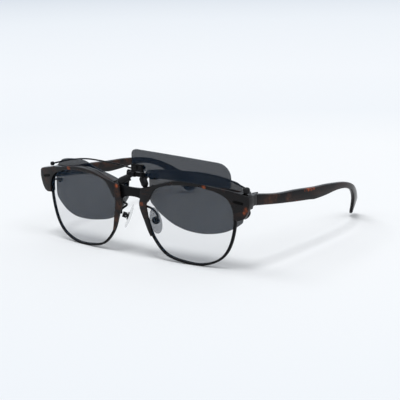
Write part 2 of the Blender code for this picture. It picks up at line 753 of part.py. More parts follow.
def build_bridge():
    """A cast bar whose ends flare down the noses of both rims."""
    scale = np.array([BRIDGE_HALF, BRIDGE_UP])
    lower = smooth_open(np.array(BRIDGE_BOTTOM_SHARES)[::-1] * scale, 10)
    upper = smooth_open(np.array(BRIDGE_TOP_SHARES)[::-1] * scale, 6)
    half = np.vstack([lower, upper])
    outline = np.vstack([half, (half * [-1, 1])[::-1][1:-1]])
    bridge = prism("bridge", outline, BRIDGE_SET, BRIDGE_SET + BRIDGE_DEPTH, BRIDGE_ROUNDING)
    seat = grown(opening_outline(), RIM_WALL + CLOSE_GAP)
    for side in (LEFT, RIGHT):
        tool = prism("seat", seat * [side, 1], -OVERRUN, BROW_DEPTH + 2 * OVERRUN)
        bridge = cut(bridge, tool)
    return mapped(bridge, on_front, LEFT, BEND_STEP / 2)


# Temples and their hinges

def temple_path(side):
    """Smooth stations along the temple: place, height and thickness."""
    table = np.array(TEMPLE_SHARES)
    outer = FRONT_WIDTH / 2 - RETURN_INSET
    rows = []
    for reach, middle, height, splay, tuck, thick in table:
        across = outer - TEMPLE_THICKNESS / 2 + splay * TEMPLE_SPLAY - tuck * TEMPLE_TUCK
        rows.append((across, joint_back() + CLOSE_GAP + reach * TEMPLE_REACH, middle * TEMPLE_MIDDLE,
                     height * TEMPLE_HEIGHT, thick * TEMPLE_THICKNESS))
    stations = smooth_open(rows, TEMPLE_STATIONS)
    stations[0] = rows[0]
    stations[:, 0] *= side
    return stations


def section_ring(place, along, height, thickness, corner, steps, side):
    """A rounded rectangle square to the path, its long side upright."""
    outward = Vector(along).cross(Vector((0, 0, 1))).normalized() * side
    upward = outward.cross(Vector(along)).normalized() * side
    corner = min(corner, thickness * 0.45, height * 0.45)
    outline = rounded_rectangle(thickness, height, (corner,) * 4, steps)
    return [Vector(place) + outward * side * x + upward * y for x, y in outline]


def swept_sections(stations, height, thickness, corner, steps, side):
    """Sections along stations. Heights and thicknesses are one each, or one for each station."""
    places = stations[:, :3]
    heights = np.broadcast_to(height, len(places))
    thicknesses = np.broadcast_to(thickness, len(places))
    sections = []
    for k, place in enumerate(places):
        along = places[min(k + 1, len(places) - 1)] - places[max(k - 1, 0)]
        if k == 0:
            along = np.array([0.0, 1.0, 0.0])
        sections.append(section_ring(place, along, heights[k], thicknesses[k], corner, steps, side))
    return sections


def core_stations(side, start, end):
    """The stretch of the temple's middle line between two lengths behind its front end."""
    path = temple_path(side)
    fine = smooth_open(path[:, :3], 200)
    lengths = np.r_[0.0, np.cumsum(np.linalg.norm(np.diff(fine, axis=0), axis=1))]
    wanted = np.linspace(start, end, 20)
    return np.stack([np.interp(wanted, lengths, fine[:, k]) for k in range(3)], axis=1)


def build_temple(side):
    """A temple that deepens, steps up to a slim neck, then drops and tucks in to a broad tip."""
    path = temple_path(side)
    sections = swept_sections(path, path[:, 3], path[:, 4], TEMPLE_CORNER, 2, side)
    temple = loft(side_name("temple", side), sections)
    bore_line = core_stations(side, 0.0, CORE_END + SEAT_GAP)
    bore_line[0, 1] -= OVERRUN
    height, thickness = CORE_HEIGHT + 2 * SEAT_GAP, CORE_THICKNESS + 2 * SEAT_GAP
    bore = loft("bore", swept_sections(bore_line, height, thickness, CLOSE_GAP, 1, side))
    return cut(temple, bore)


def build_temple_core(side):
    """The flat wire that stiffens the temple from inside."""
    line = core_stations(side, CORE_START, CORE_END)
    sections = swept_sections(line, CORE_HEIGHT, CORE_THICKNESS, CLOSE_GAP, 1, side)
    return loft(side_name("temple_core", side), sections)


def temple_slope():
    """How far the temple's straight part falls towards the back, which tilts the fold axis."""
    table = np.array(TEMPLE_SHARES)
    straight = table[7]
    return math.atan2((1 - straight[1]) * TEMPLE_MIDDLE, straight[0] * TEMPLE_REACH)


def hinge_matrix(side):
    """Centre of a temple hinge: local Z up the screw, Y along the temple, X outwards."""
    inner = FRONT_WIDTH / 2 - RETURN_INSET - RETURN_THICKNESS
    place = Vector((side * (inner - HINGE_INSET), joint_back(), TEMPLE_MIDDLE))
    return Matrix.Translation(place) @ Matrix.Rotation(-temple_slope(), 4, "X") @ mirror(side)


def knuckle_spans():
    """Heights of the three barrels, from the lowest, with the running gaps between them."""
    barrel = (HINGE_HEIGHT - 2 * SEAT_GAP) / 3
    starts = [-HINGE_HEIGHT / 2 + k * (barrel + SEAT_GAP) for k in range(3)]
    return [(start, start + barrel) for start in starts]


def circle(radius, steps=ROUND_STEPS):
    turns = [2 * math.pi * k / steps for k in range(steps)]
    return np.array([(radius * math.cos(turn), radius * math.sin(turn)) for turn in turns])


def hinge_half(name, spans, behind, side):
    """A leaf against the return or the temple, with its barrels round the screw."""
    outer = HINGE_INSET - CLOSE_GAP
    inner = outer - HINGE_LEAF
    length = HINGE_LEAF_LENGTH if behind > 0 else FRONT_LEAF_LENGTH
    near, far = HINGE_LEAF_CLEAR, HINGE_LEAF_CLEAR + length
    ends = sorted((near * behind, far * behind))
    leaf = box(name, (inner, ends[0], -HINGE_HEIGHT / 2), (outer, ends[1], HINGE_HEIGHT / 2))
    tongue_outer, tongue_inner = outer - CLOSE_GAP, inner + CLOSE_GAP
    leave, arrive = math.acos(tongue_outer / HINGE_RADIUS), math.acos(tongue_inner / HINGE_RADIUS)
    turns = np.linspace(arrive, leave + 2 * math.pi, ROUND_STEPS)
    knuckle = [(HINGE_RADIUS * math.cos(turn), HINGE_RADIUS * math.sin(turn)) for turn in turns]
    knuckle += [(tongue_outer, near + CLOSE_GAP), (tongue_inner, near + CLOSE_GAP)]
    outline = np.array(knuckle) * [1, behind]
    bore = circle(HINGE_BORE)
    for low, high in spans:
        barrel = prism("barrel", outline, low + CLOSE_GAP / 3, high - CLOSE_GAP / 3, holes=[bore])
        leaf = joined(leaf, barrel)
    return moved(leaf, hinge_matrix(side))


def build_front_hinge(side):
    low, _, high = knuckle_spans()
    return hinge_half(side_name("front_hinge", side), (low, high), -1, side)


def build_temple_hinge(side):
    return hinge_half(side_name("temple_hinge", side), knuckle_spans()[1:2], 1, side)


def build_hinge_screw(side):
    name = side_name("hinge_screw", side)
    length = HINGE_HEIGHT + CLOSE_GAP
    screw = slotted_screw(name, HINGE_HEAD_RADIUS, HINGE_HEAD_HEIGHT, HINGE_SCREW_RADIUS, length)
    top = HINGE_HEIGHT / 2 + HINGE_HEAD_HEIGHT + CLOSE_GAP
    return moved(screw, hinge_matrix(side) @ Matrix.Translation((0, 0, top)))


# Nose pads

def pad_matrix(side):
    """The pad's own frame: Z out of its soft face to the nose, X up, Y across its width."""
    top, bottom = Vector(PAD_TOP), Vector(PAD_BOTTOM)
    upward = (top - bottom).normalized()
    facing = Vector((-math.cos(PAD_SPLAY), math.sin(PAD_SPLAY), 0.0))
    facing -= upward * facing.dot(upward)
    return mirror(side) @ placed((top + bottom) / 2, facing, upward)


def build_nose_pad(side):
    """A soft oval pad, crowned towards the nose and flat behind."""
    height = (Vector(PAD_TOP) - Vector(PAD_BOTTOM)).length
    shape = bmesh.new()
    bmesh.ops.create_uvsphere(shape, u_segments=16, v_segments=8, radius=0.5)
    for vert in shape.verts:
        x, y, z = vert.co
        taper = 1 - 0.25 * x
        vert.co = (x * height, y * PAD_WIDTH * taper, max(z, -PAD_BACK_SHARE / 2) * PAD_THICKNESS)
    mesh = bpy.data.meshes.new(side_name("nose_pad", side))
    shape.to_mesh(mesh)
    shape.free()
    return moved(bare_object(mesh.name, mesh), pad_matrix(side))


def pad_back():
    """Depth of the pad's flat back in the pad's frame."""
    return -PAD_BACK_SHARE / 2 * PAD_THICKNESS


def pad_pivot_depth():
    return pad_back() - CLOSE_GAP - PAD_PLATE_THICKNESS - PAD_LUG_REACH + PAD_LUG_RADIUS


def pad_axis():
    """The screw's axis in the pad's frame, as the local Z of what is turned about it."""
    return placed((0, 0, pad_pivot_depth()), (0, 1, 0))


def build_pad_mount(side):
    """The metal plate behind the pad, with the lug that rocks in the arm's box."""
    top = pad_back() - CLOSE_GAP
    low = top - PAD_PLATE_THICKNESS
    plate = rod(side_name("pad_mount", side), PAD_PLATE_RADIUS, low, top, ROUND_STEPS)
    lug_low = (-PAD_LUG_RADIUS, -PAD_LUG / 2, pad_pivot_depth())
    lug_high = (PAD_LUG_RADIUS, PAD_LUG / 2, top - PAD_PLATE_THICKNESS / 2)
    plate = joined(plate, box("lug", lug_low, lug_high))
    plate = joined(plate, moved(rod("round_end", PAD_LUG_RADIUS, -PAD_LUG / 2, PAD_LUG / 2), pad_axis()))
    hole = moved(rod("hole", PAD_HOLE_RADIUS, -PAD_LUG, PAD_LUG), pad_axis())
    return moved(cut(plate, hole), pad_matrix(side))


def build_pad_box(side):
    """The open box at the end of the arm, with two cheeks beside the lug."""
    pivot = pad_pivot_depth()
    inside = PAD_LUG / 2 + SEAT_GAP
    outside = inside + PAD_BOX_WALL
    reach = PAD_LUG_RADIUS + SEAT_GAP
    cheek_top = pivot + PAD_LUG_RADIUS * 0.7
    bottom = pivot - reach - PAD_BOX_WALL
    solid = box(side_name("pad_box", side), (-reach, -outside, bottom), (reach, outside, cheek_top))
    slot_low = (-reach - OVERRUN, -inside, pivot - reach)
    slot_high = (reach + OVERRUN, inside, cheek_top + OVERRUN)
    solid = cut(solid, box("slot", slot_low, slot_high))
    hole = moved(rod("hole", PAD_HOLE_RADIUS, -outside - OVERRUN, outside + OVERRUN), pad_axis())
    return moved(cut(solid, hole), pad_matrix(side))


def build_pad_screw(side):
    outside = PAD_LUG / 2 + SEAT_GAP + PAD_BOX_WALL
    name = side_name("pad_screw", side)
    length = 2 * outside + CLOSE_GAP
    screw = slotted_screw(name, PAD_SCREW_HEAD, PAD_BOX_WALL, PAD_SCREW_RADIUS, length)
    head = Matrix.Translation((0, 0, outside + CLOSE_GAP + PAD_BOX_WALL))
    return moved(screw, pad_matrix(side) @ pad_axis() @ head)


def build_pad_arm(side):
    """A wire that leaves the back of the rim, bows back and comes down to the pad's box."""
    wall = grown(opening_outline(), RIM_WALL / 2)
    nose_side = [point for point in wall if point[0] < OPENING_ACROSS]
    across = min(nose_side, key=lambda point: abs(point[1] - PAD_ARM_UP))[0]
    deep = RIM_SET + RIM_DEPTH + CLOSE_GAP + PAD_ARM_RADIUS
    start = on_front(across, PAD_ARM_UP, deep)
    pad = mirror(side) @ pad_matrix(side)
    reach = PAD_LUG_RADIUS + SEAT_GAP + PAD_BOX_WALL
    end = pad @ Vector((0, 0, pad_pivot_depth() - reach - CLOSE_GAP - PAD_ARM_RADIUS))
    approach = end + Vector((0, PAD_ARM_RADIUS / 2, PAD_ARM_RADIUS * 4))
    route = smooth_open([start, PAD_ARM_BULGE, approach, end], PAD_ARM_POINTS)
    places = [mirror(side) @ Vector(point) for point in route]
    return tube(side_name("pad_arm", side), places, PAD_ARM_RADIUS)


# The clip-on

def across_matrix(place):
    """A frame whose Z runs along +X, for what is turned about a crosswise axis."""
    return placed(place, (1, 0, 0))


def barrel_place():
    return Vector((0.0, BARREL_BACK, BARREL_UP))


def build_clip_barrel():
    """The waisted centre barrel, with a bore through it for its spring."""
    half = BARREL_LENGTH / 2
    collar = BARREL_LENGTH / 7
    waist = half - 1.5 * collar
    profile = (
        (0.0, half), (BARREL_RADIUS, half), (BARREL_RADIUS, half - collar), (BARREL_WAIST, waist),
        (BARREL_WAIST, -waist), (BARREL_RADIUS, collar - half), (BARREL_RADIUS, -half), (0.0, -half),
    )
    return moved(turned("clip_barrel", profile, ROUND_STEPS), across_matrix(barrel_place()))


def build_knob(side):
    """A domed end knob on the barrel."""
    start = BARREL_LENGTH / 2 + CLOSE_GAP
    end = start + KNOB_LENGTH
    dome = KNOB_LENGTH / 3
    profile = (
        (0.0, end), (KNOB_RADIUS - dome, end), (KNOB_RADIUS, end - dome),
        (KNOB_RADIUS, start + dome), (KNOB_RADIUS - dome / 2, start), (0.0, start),
    )
    knob = turned(side_name("barrel_knob", side), profile, ROUND_STEPS)
    return moved(knob, mirror(side) @ across_matrix(barrel_place()))


def leg_ends(side):
    """Top of a leg, under the barrel's collar, and its lower end over the bridge."""
    foot = on_front(LEG_ACROSS, BRIDGE_UP, BRIDGE_SET + BRIDGE_DEPTH / 2)
    foot.z += LEG_LIFT + SLEEVE_RADIUS
    top = Vector((BARREL_LENGTH * LEG_TOP_SHARE, BARREL_BACK, BARREL_UP))
    top += (foot - top).normalized() * (BARREL_RADIUS + LEG_RADIUS + 4 * CLOSE_GAP)
    return [mirror(side) @ point for point in (top, foot)]


def extended(line, length):
    """The line with its last point carried further along."""
    line = np.array(line)
    direction = line[-1] - line[-2]
    line[-1] += direction / np.linalg.norm(direction) * length
    return line


def build_leg(side):
    return tube(side_name("clip_leg", side), leg_ends(side), LEG_RADIUS)


def build_sleeve(side):
    """The rubber sleeve on a leg's lower part, with a blind bore and a round foot."""
    top, foot = leg_ends(side)
    start = (foot - top).length * SLEEVE_SHARE
    bore = LEG_RADIUS + CLOSE_GAP
    profile = [(0.0, CLOSE_GAP), (bore, CLOSE_GAP), (bore, -start), (SLEEVE_RADIUS, -start)]
    for degrees in (0, 35, 65):
        turn = math.radians(degrees)
        profile.append((SLEEVE_RADIUS * math.cos(turn), SLEEVE_RADIUS * math.sin(turn)))
    profile.append((0.0, SLEEVE_RADIUS))
    return moved(turned(side_name("foot_sleeve", side), profile), placed(foot, foot - top))


def clip_outline(side):
    """The dark lens's edge. The right one is cut lower by the nose and hangs lower."""
    shares = LEFT_LENS_SHARES if side == LEFT else RIGHT_LENS_SHARES
    return shares_outline(
        shares, CLIP_LENS_WIDTH, CLIP_LENS_HEIGHT, CLIP_LENS_ACROSS, CLIP_LENS_UP, CLIP_LENS_POINTS
    )


def clip_rivet_place(side):
    return LEFT_RIVET_PLACE if side == LEFT else RIGHT_RIVET_PLACE


def hole_at(across, up, radius, depth):
    return moved(rod("hole", radius, -depth, depth), Matrix.Translation((across, up, 0.0)))


def build_clip_lens(side):
    half = CLIP_LENS_THICKNESS / 2
    lens = prism(side_name("clip_lens", side), clip_outline(side), -half, half)
    lens = cut(lens, hole_at(*clip_rivet_place(side), RIVET_RADIUS + CLOSE_GAP, OVERRUN))
    lens = cut(lens, hole_at(*HOOK_START, RIVET_RADIUS + CLOSE_GAP, OVERRUN))
    return mapped(lens, on_clip, side)


def build_clip_plate(side):
    """The small plate from the barrel's knob to the back of the dark lens."""
    front = CLIP_LENS_THICKNESS / 2 + CLOSE_GAP
    inner = BARREL_LENGTH / 2 + CLOSE_GAP + KNOB_LENGTH + CLOSE_GAP
    top = BARREL_UP + CLIP_PLATE_HEIGHT / 2
    if side == LEFT:
        inner_corner, outer_corner = CLIP_PLATE_HEIGHT / 4, CLIP_PLATE_HEIGHT / 2.1
        corners = (inner_corner, outer_corner, outer_corner, inner_corner)
        outline = rounded_rectangle(CLIP_PLATE_LENGTH, CLIP_PLATE_HEIGHT, corners, 3)
        outline = outline + [inner + CLIP_PLATE_LENGTH / 2, BARREL_UP]
    else:
        bottom = RIGHT_RIVET_PLACE[1] - CLIP_PLATE_HEIGHT / 2
        outline = np.array(RIGHT_PLATE_SHARES) * [CLIP_PLATE_LENGTH, top - bottom] + [inner, bottom]
    plate = prism(side_name("clip_plate", side), outline, front, front + CLIP_PLATE_THICKNESS)
    plate = cut(plate, hole_at(*clip_rivet_place(side), RIVET_RADIUS + CLOSE_GAP, OVERRUN * 2))
    return mapped(plate, on_clip, side)


def rivet(name, grip):
    """A rivet along Z with a head at each end of its grip."""
    under = grip / 2 + CLOSE_GAP
    edge = RIVET_HEAD_RADIUS - RIVET_HEAD / 2
    upper = [
        (0.0, under + RIVET_HEAD), (edge, under + RIVET_HEAD), (RIVET_HEAD_RADIUS, under + RIVET_HEAD / 2),
        (RIVET_HEAD_RADIUS, under), (RIVET_RADIUS, under),
    ]
    lower = [(radius, -height) for radius, height in reversed(upper)]
    return turned(name, upper + lower)


def build_clip_rivet(side):
    grip = CLIP_LENS_THICKNESS + CLOSE_GAP + CLIP_PLATE_THICKNESS
    piece = rivet(side_name("clip_rivet", side), grip)
    centre = (grip - CLIP_LENS_THICKNESS) / 2
    moved(piece, Matrix.Translation((*clip_rivet_place(side), centre)))
    return mapped(piece, on_clip, side)


def brow_top_height(across, deep):
    """World height of the brow's top edge at a place across the front."""
    shares = np.array(BROW_TOP_SHARES)
    up = BROW_HEIGHT * np.interp(across / (FRONT_WIDTH / 2), shares[:, 0], shares[:, 1])
    return on_front(across, up, deep).z


def wire_across(side):
    return LEFT_WIRE_ACROSS if side == LEFT else RIGHT_WIRE_ACROSS


def grip_place(side):
    across = wire_across(side)
    base = brow_top_height(across, BROW_DEPTH / 2)
    return Vector((across, GRIP_BACK, base + GRIP_LIFT + GRIP_HEIGHT / 2))


def wire_route(side):
    """From the barrel's knob along the back of the dark lens's top edge, then on to the brow."""
    behind = CLIP_LENS_THICKNESS / 2 + 2.6 * CLOSE_GAP + WIRE_RADIUS
    reach = wire_across(side)
    height = CLIP_LENS_UP + CLIP_LENS_HEIGHT / 2 - WIRE_DROP
    lens_line = [on_clip(across * reach, up * height, behind) for across, up in WIRE_ROUTE_SHARES]
    back = lens_line[0].y - BARREL_BACK
    rise = math.sqrt(KNOB_RADIUS ** 2 - back ** 2) + SEAT_GAP + WIRE_RADIUS
    start = Vector((BARREL_LENGTH / 2 + CLOSE_GAP + KNOB_LENGTH / 2, lens_line[0].y, BARREL_UP + rise))
    tip = grip_place(side)
    over = tip + Vector((-GRIP_RADIUS / 4, GRIP_RADIUS / 3, GRIP_HEIGHT / 2 + WIRE_RADIUS * 2))
    return [start, *lens_line, over, tip]


def build_clip_wire(side):
    route = smooth_open(wire_route(side), WIRE_POINTS)
    places = [mirror(side) @ Vector(point) for point in route]
    return tube(side_name("clip_wire", side), places, WIRE_RADIUS)


def build_upper_grip(side):
    """The rubber knob on the wire's end, bored for it, that rests on the brow."""
    tip = grip_place(side)
    half = GRIP_HEIGHT / 2
    profile = [(GRIP_RADIUS * share, half * height) for share, height in GRIP_SHARES]
    grip = moved(turned(side_name("upper_grip", side), profile), Matrix.Translation(tip))
    route = extended(smooth_open(wire_route(side), WIRE_POINTS), CLOSE_GAP)
    bore = baked(tube("bore", route[-5:], WIRE_RADIUS + 1.6 * CLOSE_GAP))
    return moved(cut(grip, bore), mirror(side))


def build_lower_hook(side):
    """A spring wire from the back of the dark lens out round the brow's lower lobe."""
    across, up = HOOK_START
    start = on_clip(across, up, CLIP_LENS_THICKNESS / 2 + 3 * CLOSE_GAP + RIVET_HEAD + HOOK_RADIUS)
    route = smooth_open([start, *HOOK_ROUTE], 26)
    places = [mirror(side) @ Vector(point) for point in route]
    return tube(side_name("lower_hook", side), places, HOOK_RADIUS)


def build_hook_rivet(side):
    piece = rivet(side_name("hook_rivet", side), CLIP_LENS_THICKNESS)
    moved(piece, Matrix.Translation((*HOOK_START, 0.0)))
    return mapped(piece, on_clip, side)


# The lens that flips, and its hinge

def flip_place(across=0.0):
    return Vector((across, FLIP_BACK, FLIP_UP))


def across_rod(name, radius, low, high):
    """A rod about the flip pin's axis between two places across."""
    return moved(rod(name, radius, low, high, ROUND_STEPS), across_matrix(flip_place()))


def build_flip_lens():
    """The flip lens: a wide plate, notched at its inner lower corner for the hinge."""
    half = FLIP_LENS_THICKNESS / 2
    corners = (FLIP_LOWER_CORNER, FLIP_LOWER_CORNER, FLIP_OUTER_CORNER, FLIP_INNER_CORNER)
    middle = FLIP_LENS_BOTTOM + FLIP_LENS_HEIGHT / 2
    outline = rounded_rectangle(FLIP_LENS_WIDTH, FLIP_LENS_HEIGHT, corners, 6)
    fall = (outline[:, 0] / FLIP_LENS_WIDTH + 1 / 2) * (outline[:, 1] / FLIP_LENS_HEIGHT + 1 / 2)
    outline[:, 1] -= fall * FLIP_LENS_FALL
    outline += [FLIP_LENS_ACROSS, middle]
    lens = prism("flip_lens", outline, -half, half)
    notch_top = FLIP_LENS_BOTTOM + FLIP_NOTCH_RISE
    lens = cut(lens, box("notch", (-OVERRUN, 0.0, -OVERRUN), (FLIP_NOTCH_ACROSS, notch_top, OVERRUN)))
    for across in FLIP_RIVET_ACROSS:
        lens = cut(lens, hole_at(across, FLIP_RIVET_UP, RIVET_RADIUS + CLOSE_GAP, OVERRUN))
    return mapped(lens, on_flip, LEFT)


def build_flip_lug():
    """The lug riveted to the lens's face, with the knuckle that turns on the pin."""
    start = FLIP_EAR_INNER + FLIP_EAR + SEAT_GAP
    end = start + FLIP_LUG_KNUCKLE
    knuckle = across_rod("flip_lug", FLIP_EAR_RADIUS, start, end)
    face = on_flip(start, FLIP_UP, -FLIP_LENS_THICKNESS / 2 - SEAT_GAP - CLOSE_GAP).y
    plate = box("plate", (start + CLOSE_GAP, face - FLIP_LUG_THICKNESS, FLIP_UP + FLIP_EAR_RADIUS * 0.3),
                (FLIP_EAR_OUTER + CLOSE_GAP, face, FLIP_LUG_TOP), CLOSE_GAP)
    lower_cut = box("relief", (end, face - OVERRUN * 2, FLIP_UP - OVERRUN),
                    (FLIP_EAR_OUTER + OVERRUN, face + OVERRUN, FLIP_UP + FLIP_EAR_RADIUS + SEAT_GAP))
    plate = cut(plate, lower_cut)
    lug = joined(knuckle, plate)
    lug = cut(lug, across_rod("bore", FLIP_BORE, start - OVERRUN, end + OVERRUN))
    for across in FLIP_RIVET_ACROSS:
        hole = rod("hole", RIVET_RADIUS + CLOSE_GAP, -OVERRUN, OVERRUN)
        lug = cut(lug, moved(hole, placed((across, face, FLIP_RIVET_UP), (0, 1, 0))))
    return lug


def build_flip_rivet(number):
    across = FLIP_RIVET_ACROSS[number]
    grip = FLIP_LENS_THICKNESS + SEAT_GAP + CLOSE_GAP + FLIP_LUG_THICKNESS + CLOSE_GAP
    piece = rivet(("flip_rivet_inner", "flip_rivet_outer")[number], grip)
    centre = on_flip(across, FLIP_RIVET_UP, (FLIP_LENS_THICKNESS - grip) / 2)
    return moved(piece, placed(centre, (0, 1, 0)))


def build_flip_bracket():
    """A strap from the barrel forwards over the bridge, ending in two ears round the pin."""
    back_edge = FLIP_BACK + FLIP_EAR_RADIUS + SEAT_GAP
    strap_low, strap_high = FLIP_UP - FLIP_STRAP / 2, FLIP_UP + FLIP_STRAP / 2
    bracket = box("flip_bracket", (FLIP_EAR_INNER, back_edge, strap_low),
                  (FLIP_EAR_OUTER, back_edge + FLIP_STRAP * 1.5, strap_high))
    inset = CLOSE_GAP / 3
    for start in (FLIP_EAR_INNER, FLIP_EAR_OUTER - FLIP_EAR):
        end = start + FLIP_EAR
        bracket = joined(bracket, across_rod("ear", FLIP_EAR_RADIUS, start, end))
        neck_low = (start + inset, FLIP_BACK, strap_low + inset)
        neck_high = (end - inset, back_edge + CLOSE_GAP, strap_high - inset)
        bracket = joined(bracket, box("neck", neck_low, neck_high))
    strap_end = BARREL_BACK - BARREL_RADIUS * 0.6
    outer = FLIP_EAR_INNER + FLIP_STRAP_WIDTH * 0.55
    fall = (FLIP_UP - FLIP_STRAP / 2) - (BARREL_UP + BARREL_RADIUS + CLOSE_GAP)
    thickness = FLIP_STRAP * 0.9
    sections = []
    for share in (0.0, 0.25, 0.5, 0.75, 1.0):
        back = back_edge + FLIP_STRAP + share * (strap_end - back_edge)
        ease = share * share * (3 - 2 * share)
        low = strap_low + CLOSE_GAP / 3 - fall * ease
        shift = -ease * (outer - FLIP_STRAP_WIDTH / 2)
        near, far = outer - FLIP_STRAP_WIDTH / 2 + shift, outer + FLIP_STRAP_WIDTH / 2 + shift
        high = low + thickness
        sections.append([(near, back, low), (far, back, low), (far, back, high), (near, back, high)])
    bracket = joined(bracket, loft("strap", sections))
    return cut(bracket, across_rod("bore", FLIP_BORE, FLIP_EAR_INNER - OVERRUN, FLIP_EAR_OUTER + OVERRUN))


def build_flip_pin():
    """The pin through the ears and the lug, with a head at each end."""
    low, high = FLIP_EAR_INNER - SEAT_GAP, FLIP_EAR_OUTER + SEAT_GAP
    top, bottom = high + FLIP_PIN_RADIUS, low - FLIP_PIN_RADIUS
    profile = (
        (0.0, top), (FLIP_PIN_HEAD, top), (FLIP_PIN_HEAD, high), (FLIP_PIN_RADIUS, high),
        (FLIP_PIN_RADIUS, low), (FLIP_PIN_HEAD, low), (FLIP_PIN_HEAD, bottom), (0.0, bottom),
    )
    return moved(turned("flip_pin", profile), across_matrix(flip_place()))


def build_flip_spring():
    """A small coil round the pin, between the lug's knuckle and the outer ear."""
    start = FLIP_EAR_INNER + FLIP_EAR + FLIP_LUG_KNUCKLE + 2 * SEAT_GAP + SPRING_WIRE
    end = FLIP_EAR_OUTER - FLIP_EAR - SEAT_GAP - SPRING_WIRE
    count = SPRING_TURNS * SPRING_POINTS_PER_TURN
    points = []
    for k in range(count + 1):
        turn = 2 * math.pi * k / SPRING_POINTS_PER_TURN
        round_pin = Vector((0.0, SPRING_RADIUS * math.cos(turn), SPRING_RADIUS * math.sin(turn)))
        points.append(flip_place(start + (end - start) * k / count) + round_pin)
    least_gap = (end - start) / SPRING_TURNS - 2 * SPRING_WIRE
    print("least gap between spring turns, mm:", round(least_gap / MM, 2))
    return tube("flip_spring", points, SPRING_WIRE)


def build_eyeglasses():
    clear_scene()
    tortoise = make_material("tortoise_acetate", (0.035, 0.014, 0.008), 0.22)
    black_metal = make_material("black_metal", (0.02, 0.02, 0.022), 0.35, 0.8)
    steel = make_material("polished_steel", (0.5, 0.5, 0.52), 0.25, 1.0)
    clear_glass = make_material("clear_lens", (0.85, 0.9, 0.92), 0.03, 0.0, 0.15)
    dark_glass = make_material("dark_lens", (0.02, 0.028, 0.035), 0.05, 0.0, 0.88)
    silicone = make_material("clear_silicone", (0.8, 0.83, 0.83), 0.4, 0.0, 0.5)
    rubber = make_material("black_rubber", (0.015, 0.015, 0.015), 0.7)

    glasses = Assembly("eyeglasses")
    clip = glasses.empty("clip_lift", Matrix.Translation(barrel_place()), glasses.base)
    flip = glasses.empty("flip_axis", across_matrix(flip_place()), clip)

    glasses.keep(build_bridge(), black_metal)
    for side in (LEFT, RIGHT):
        fold = glasses.empty(side_name("temple_fold", side), hinge_matrix(side) @ mirror(side), glasses.base)
        rock = glasses.empty(
            side_name("pad_rock", side),
            pad_matrix(side) @ placed((0, 0, pad_pivot_depth()), (0, 1, 0)) @ mirror(side), glasses.base)
        for build, material in (
            (build_brow, tortoise), (build_rim, black_metal), (build_lens, clear_glass),
            (build_inlay, steel), (build_front_hinge, black_metal), (build_hinge_screw, steel),
            (build_pad_arm, black_metal), (build_pad_box, black_metal), (build_pad_screw, steel),
        ):
            glasses.keep(build(side), material)
        for build, material in (
            (build_temple, tortoise), (build_temple_core, steel), (build_temple_hinge, black_metal),
        ):
            glasses.keep(build(side), material, fold)
        for build, material in ((build_nose_pad, silicone), (build_pad_mount, black_metal)):
            glasses.keep(build(side), material, rock)
        for build, material in (
            (build_knob, black_metal), (build_leg, black_metal), (build_sleeve, rubber),
            (build_clip_lens, dark_glass), (build_clip_plate, black_metal),
            (build_clip_rivet, black_metal), (build_clip_wire, black_metal),
            (build_upper_grip, rubber), (build_lower_hook, black_metal), (build_hook_rivet, black_metal),
        ):
            glasses.keep(build(side), material, clip)
    glasses.keep(build_clip_barrel(), black_metal, clip)
    glasses.keep(build_flip_bracket(), black_metal, clip)
    glasses.keep(build_flip_pin(), steel, clip)
    glasses.keep(build_flip_spring(), steel, clip)
    glasses.keep(build_flip_lens(), dark_glass, flip)
    glasses.keep(build_flip_lug(), black_metal, flip)
    for number in range(len(FLIP_RIVET_ACROSS)):
        glasses.keep(build_flip_rivet(number), black_metal, flip)
    centre_on_ground(glasses)


def centre_on_ground(glasses):
    """Moves the whole assembly so that the middle of its box's base is at the origin."""
    bpy.context.view_layer.update()
    graph = bpy.context.evaluated_depsgraph_get()
    places = []
    for item in glasses.collection.objects:
        if item.type == "EMPTY":
            continue
        shaped = item.evaluated_get(graph)
        places += [item.matrix_world @ vert.co for vert in shaped.to_mesh().vertices]
        shaped.to_mesh_clear()
    low, high = np.min(places, axis=0), np.max(places, axis=0)
    glasses.base.location = (-(low[0] + high[0]) / 2, -(low[1] + high[1]) / 2, -low[2])
    bpy.context.view_layer.update()


build_eyeglasses()
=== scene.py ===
"""Looks for the clip-on eyeglasses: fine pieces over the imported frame, materials, light and camera.

The wearer's left is +X, +Y runs back along the temples and +Z is up. Each fine piece stands in the
place of its CAD node and is drawn from the sizes of the model's own source, but for a few that
follow the photo more closely, with rounder edges and smoother curves. The flat plans of the front
are drawn as (across, up, deep), as in that source.
"""

import json
import math

import bmesh
import bpy
import numpy as np
from mathutils import Matrix, Vector

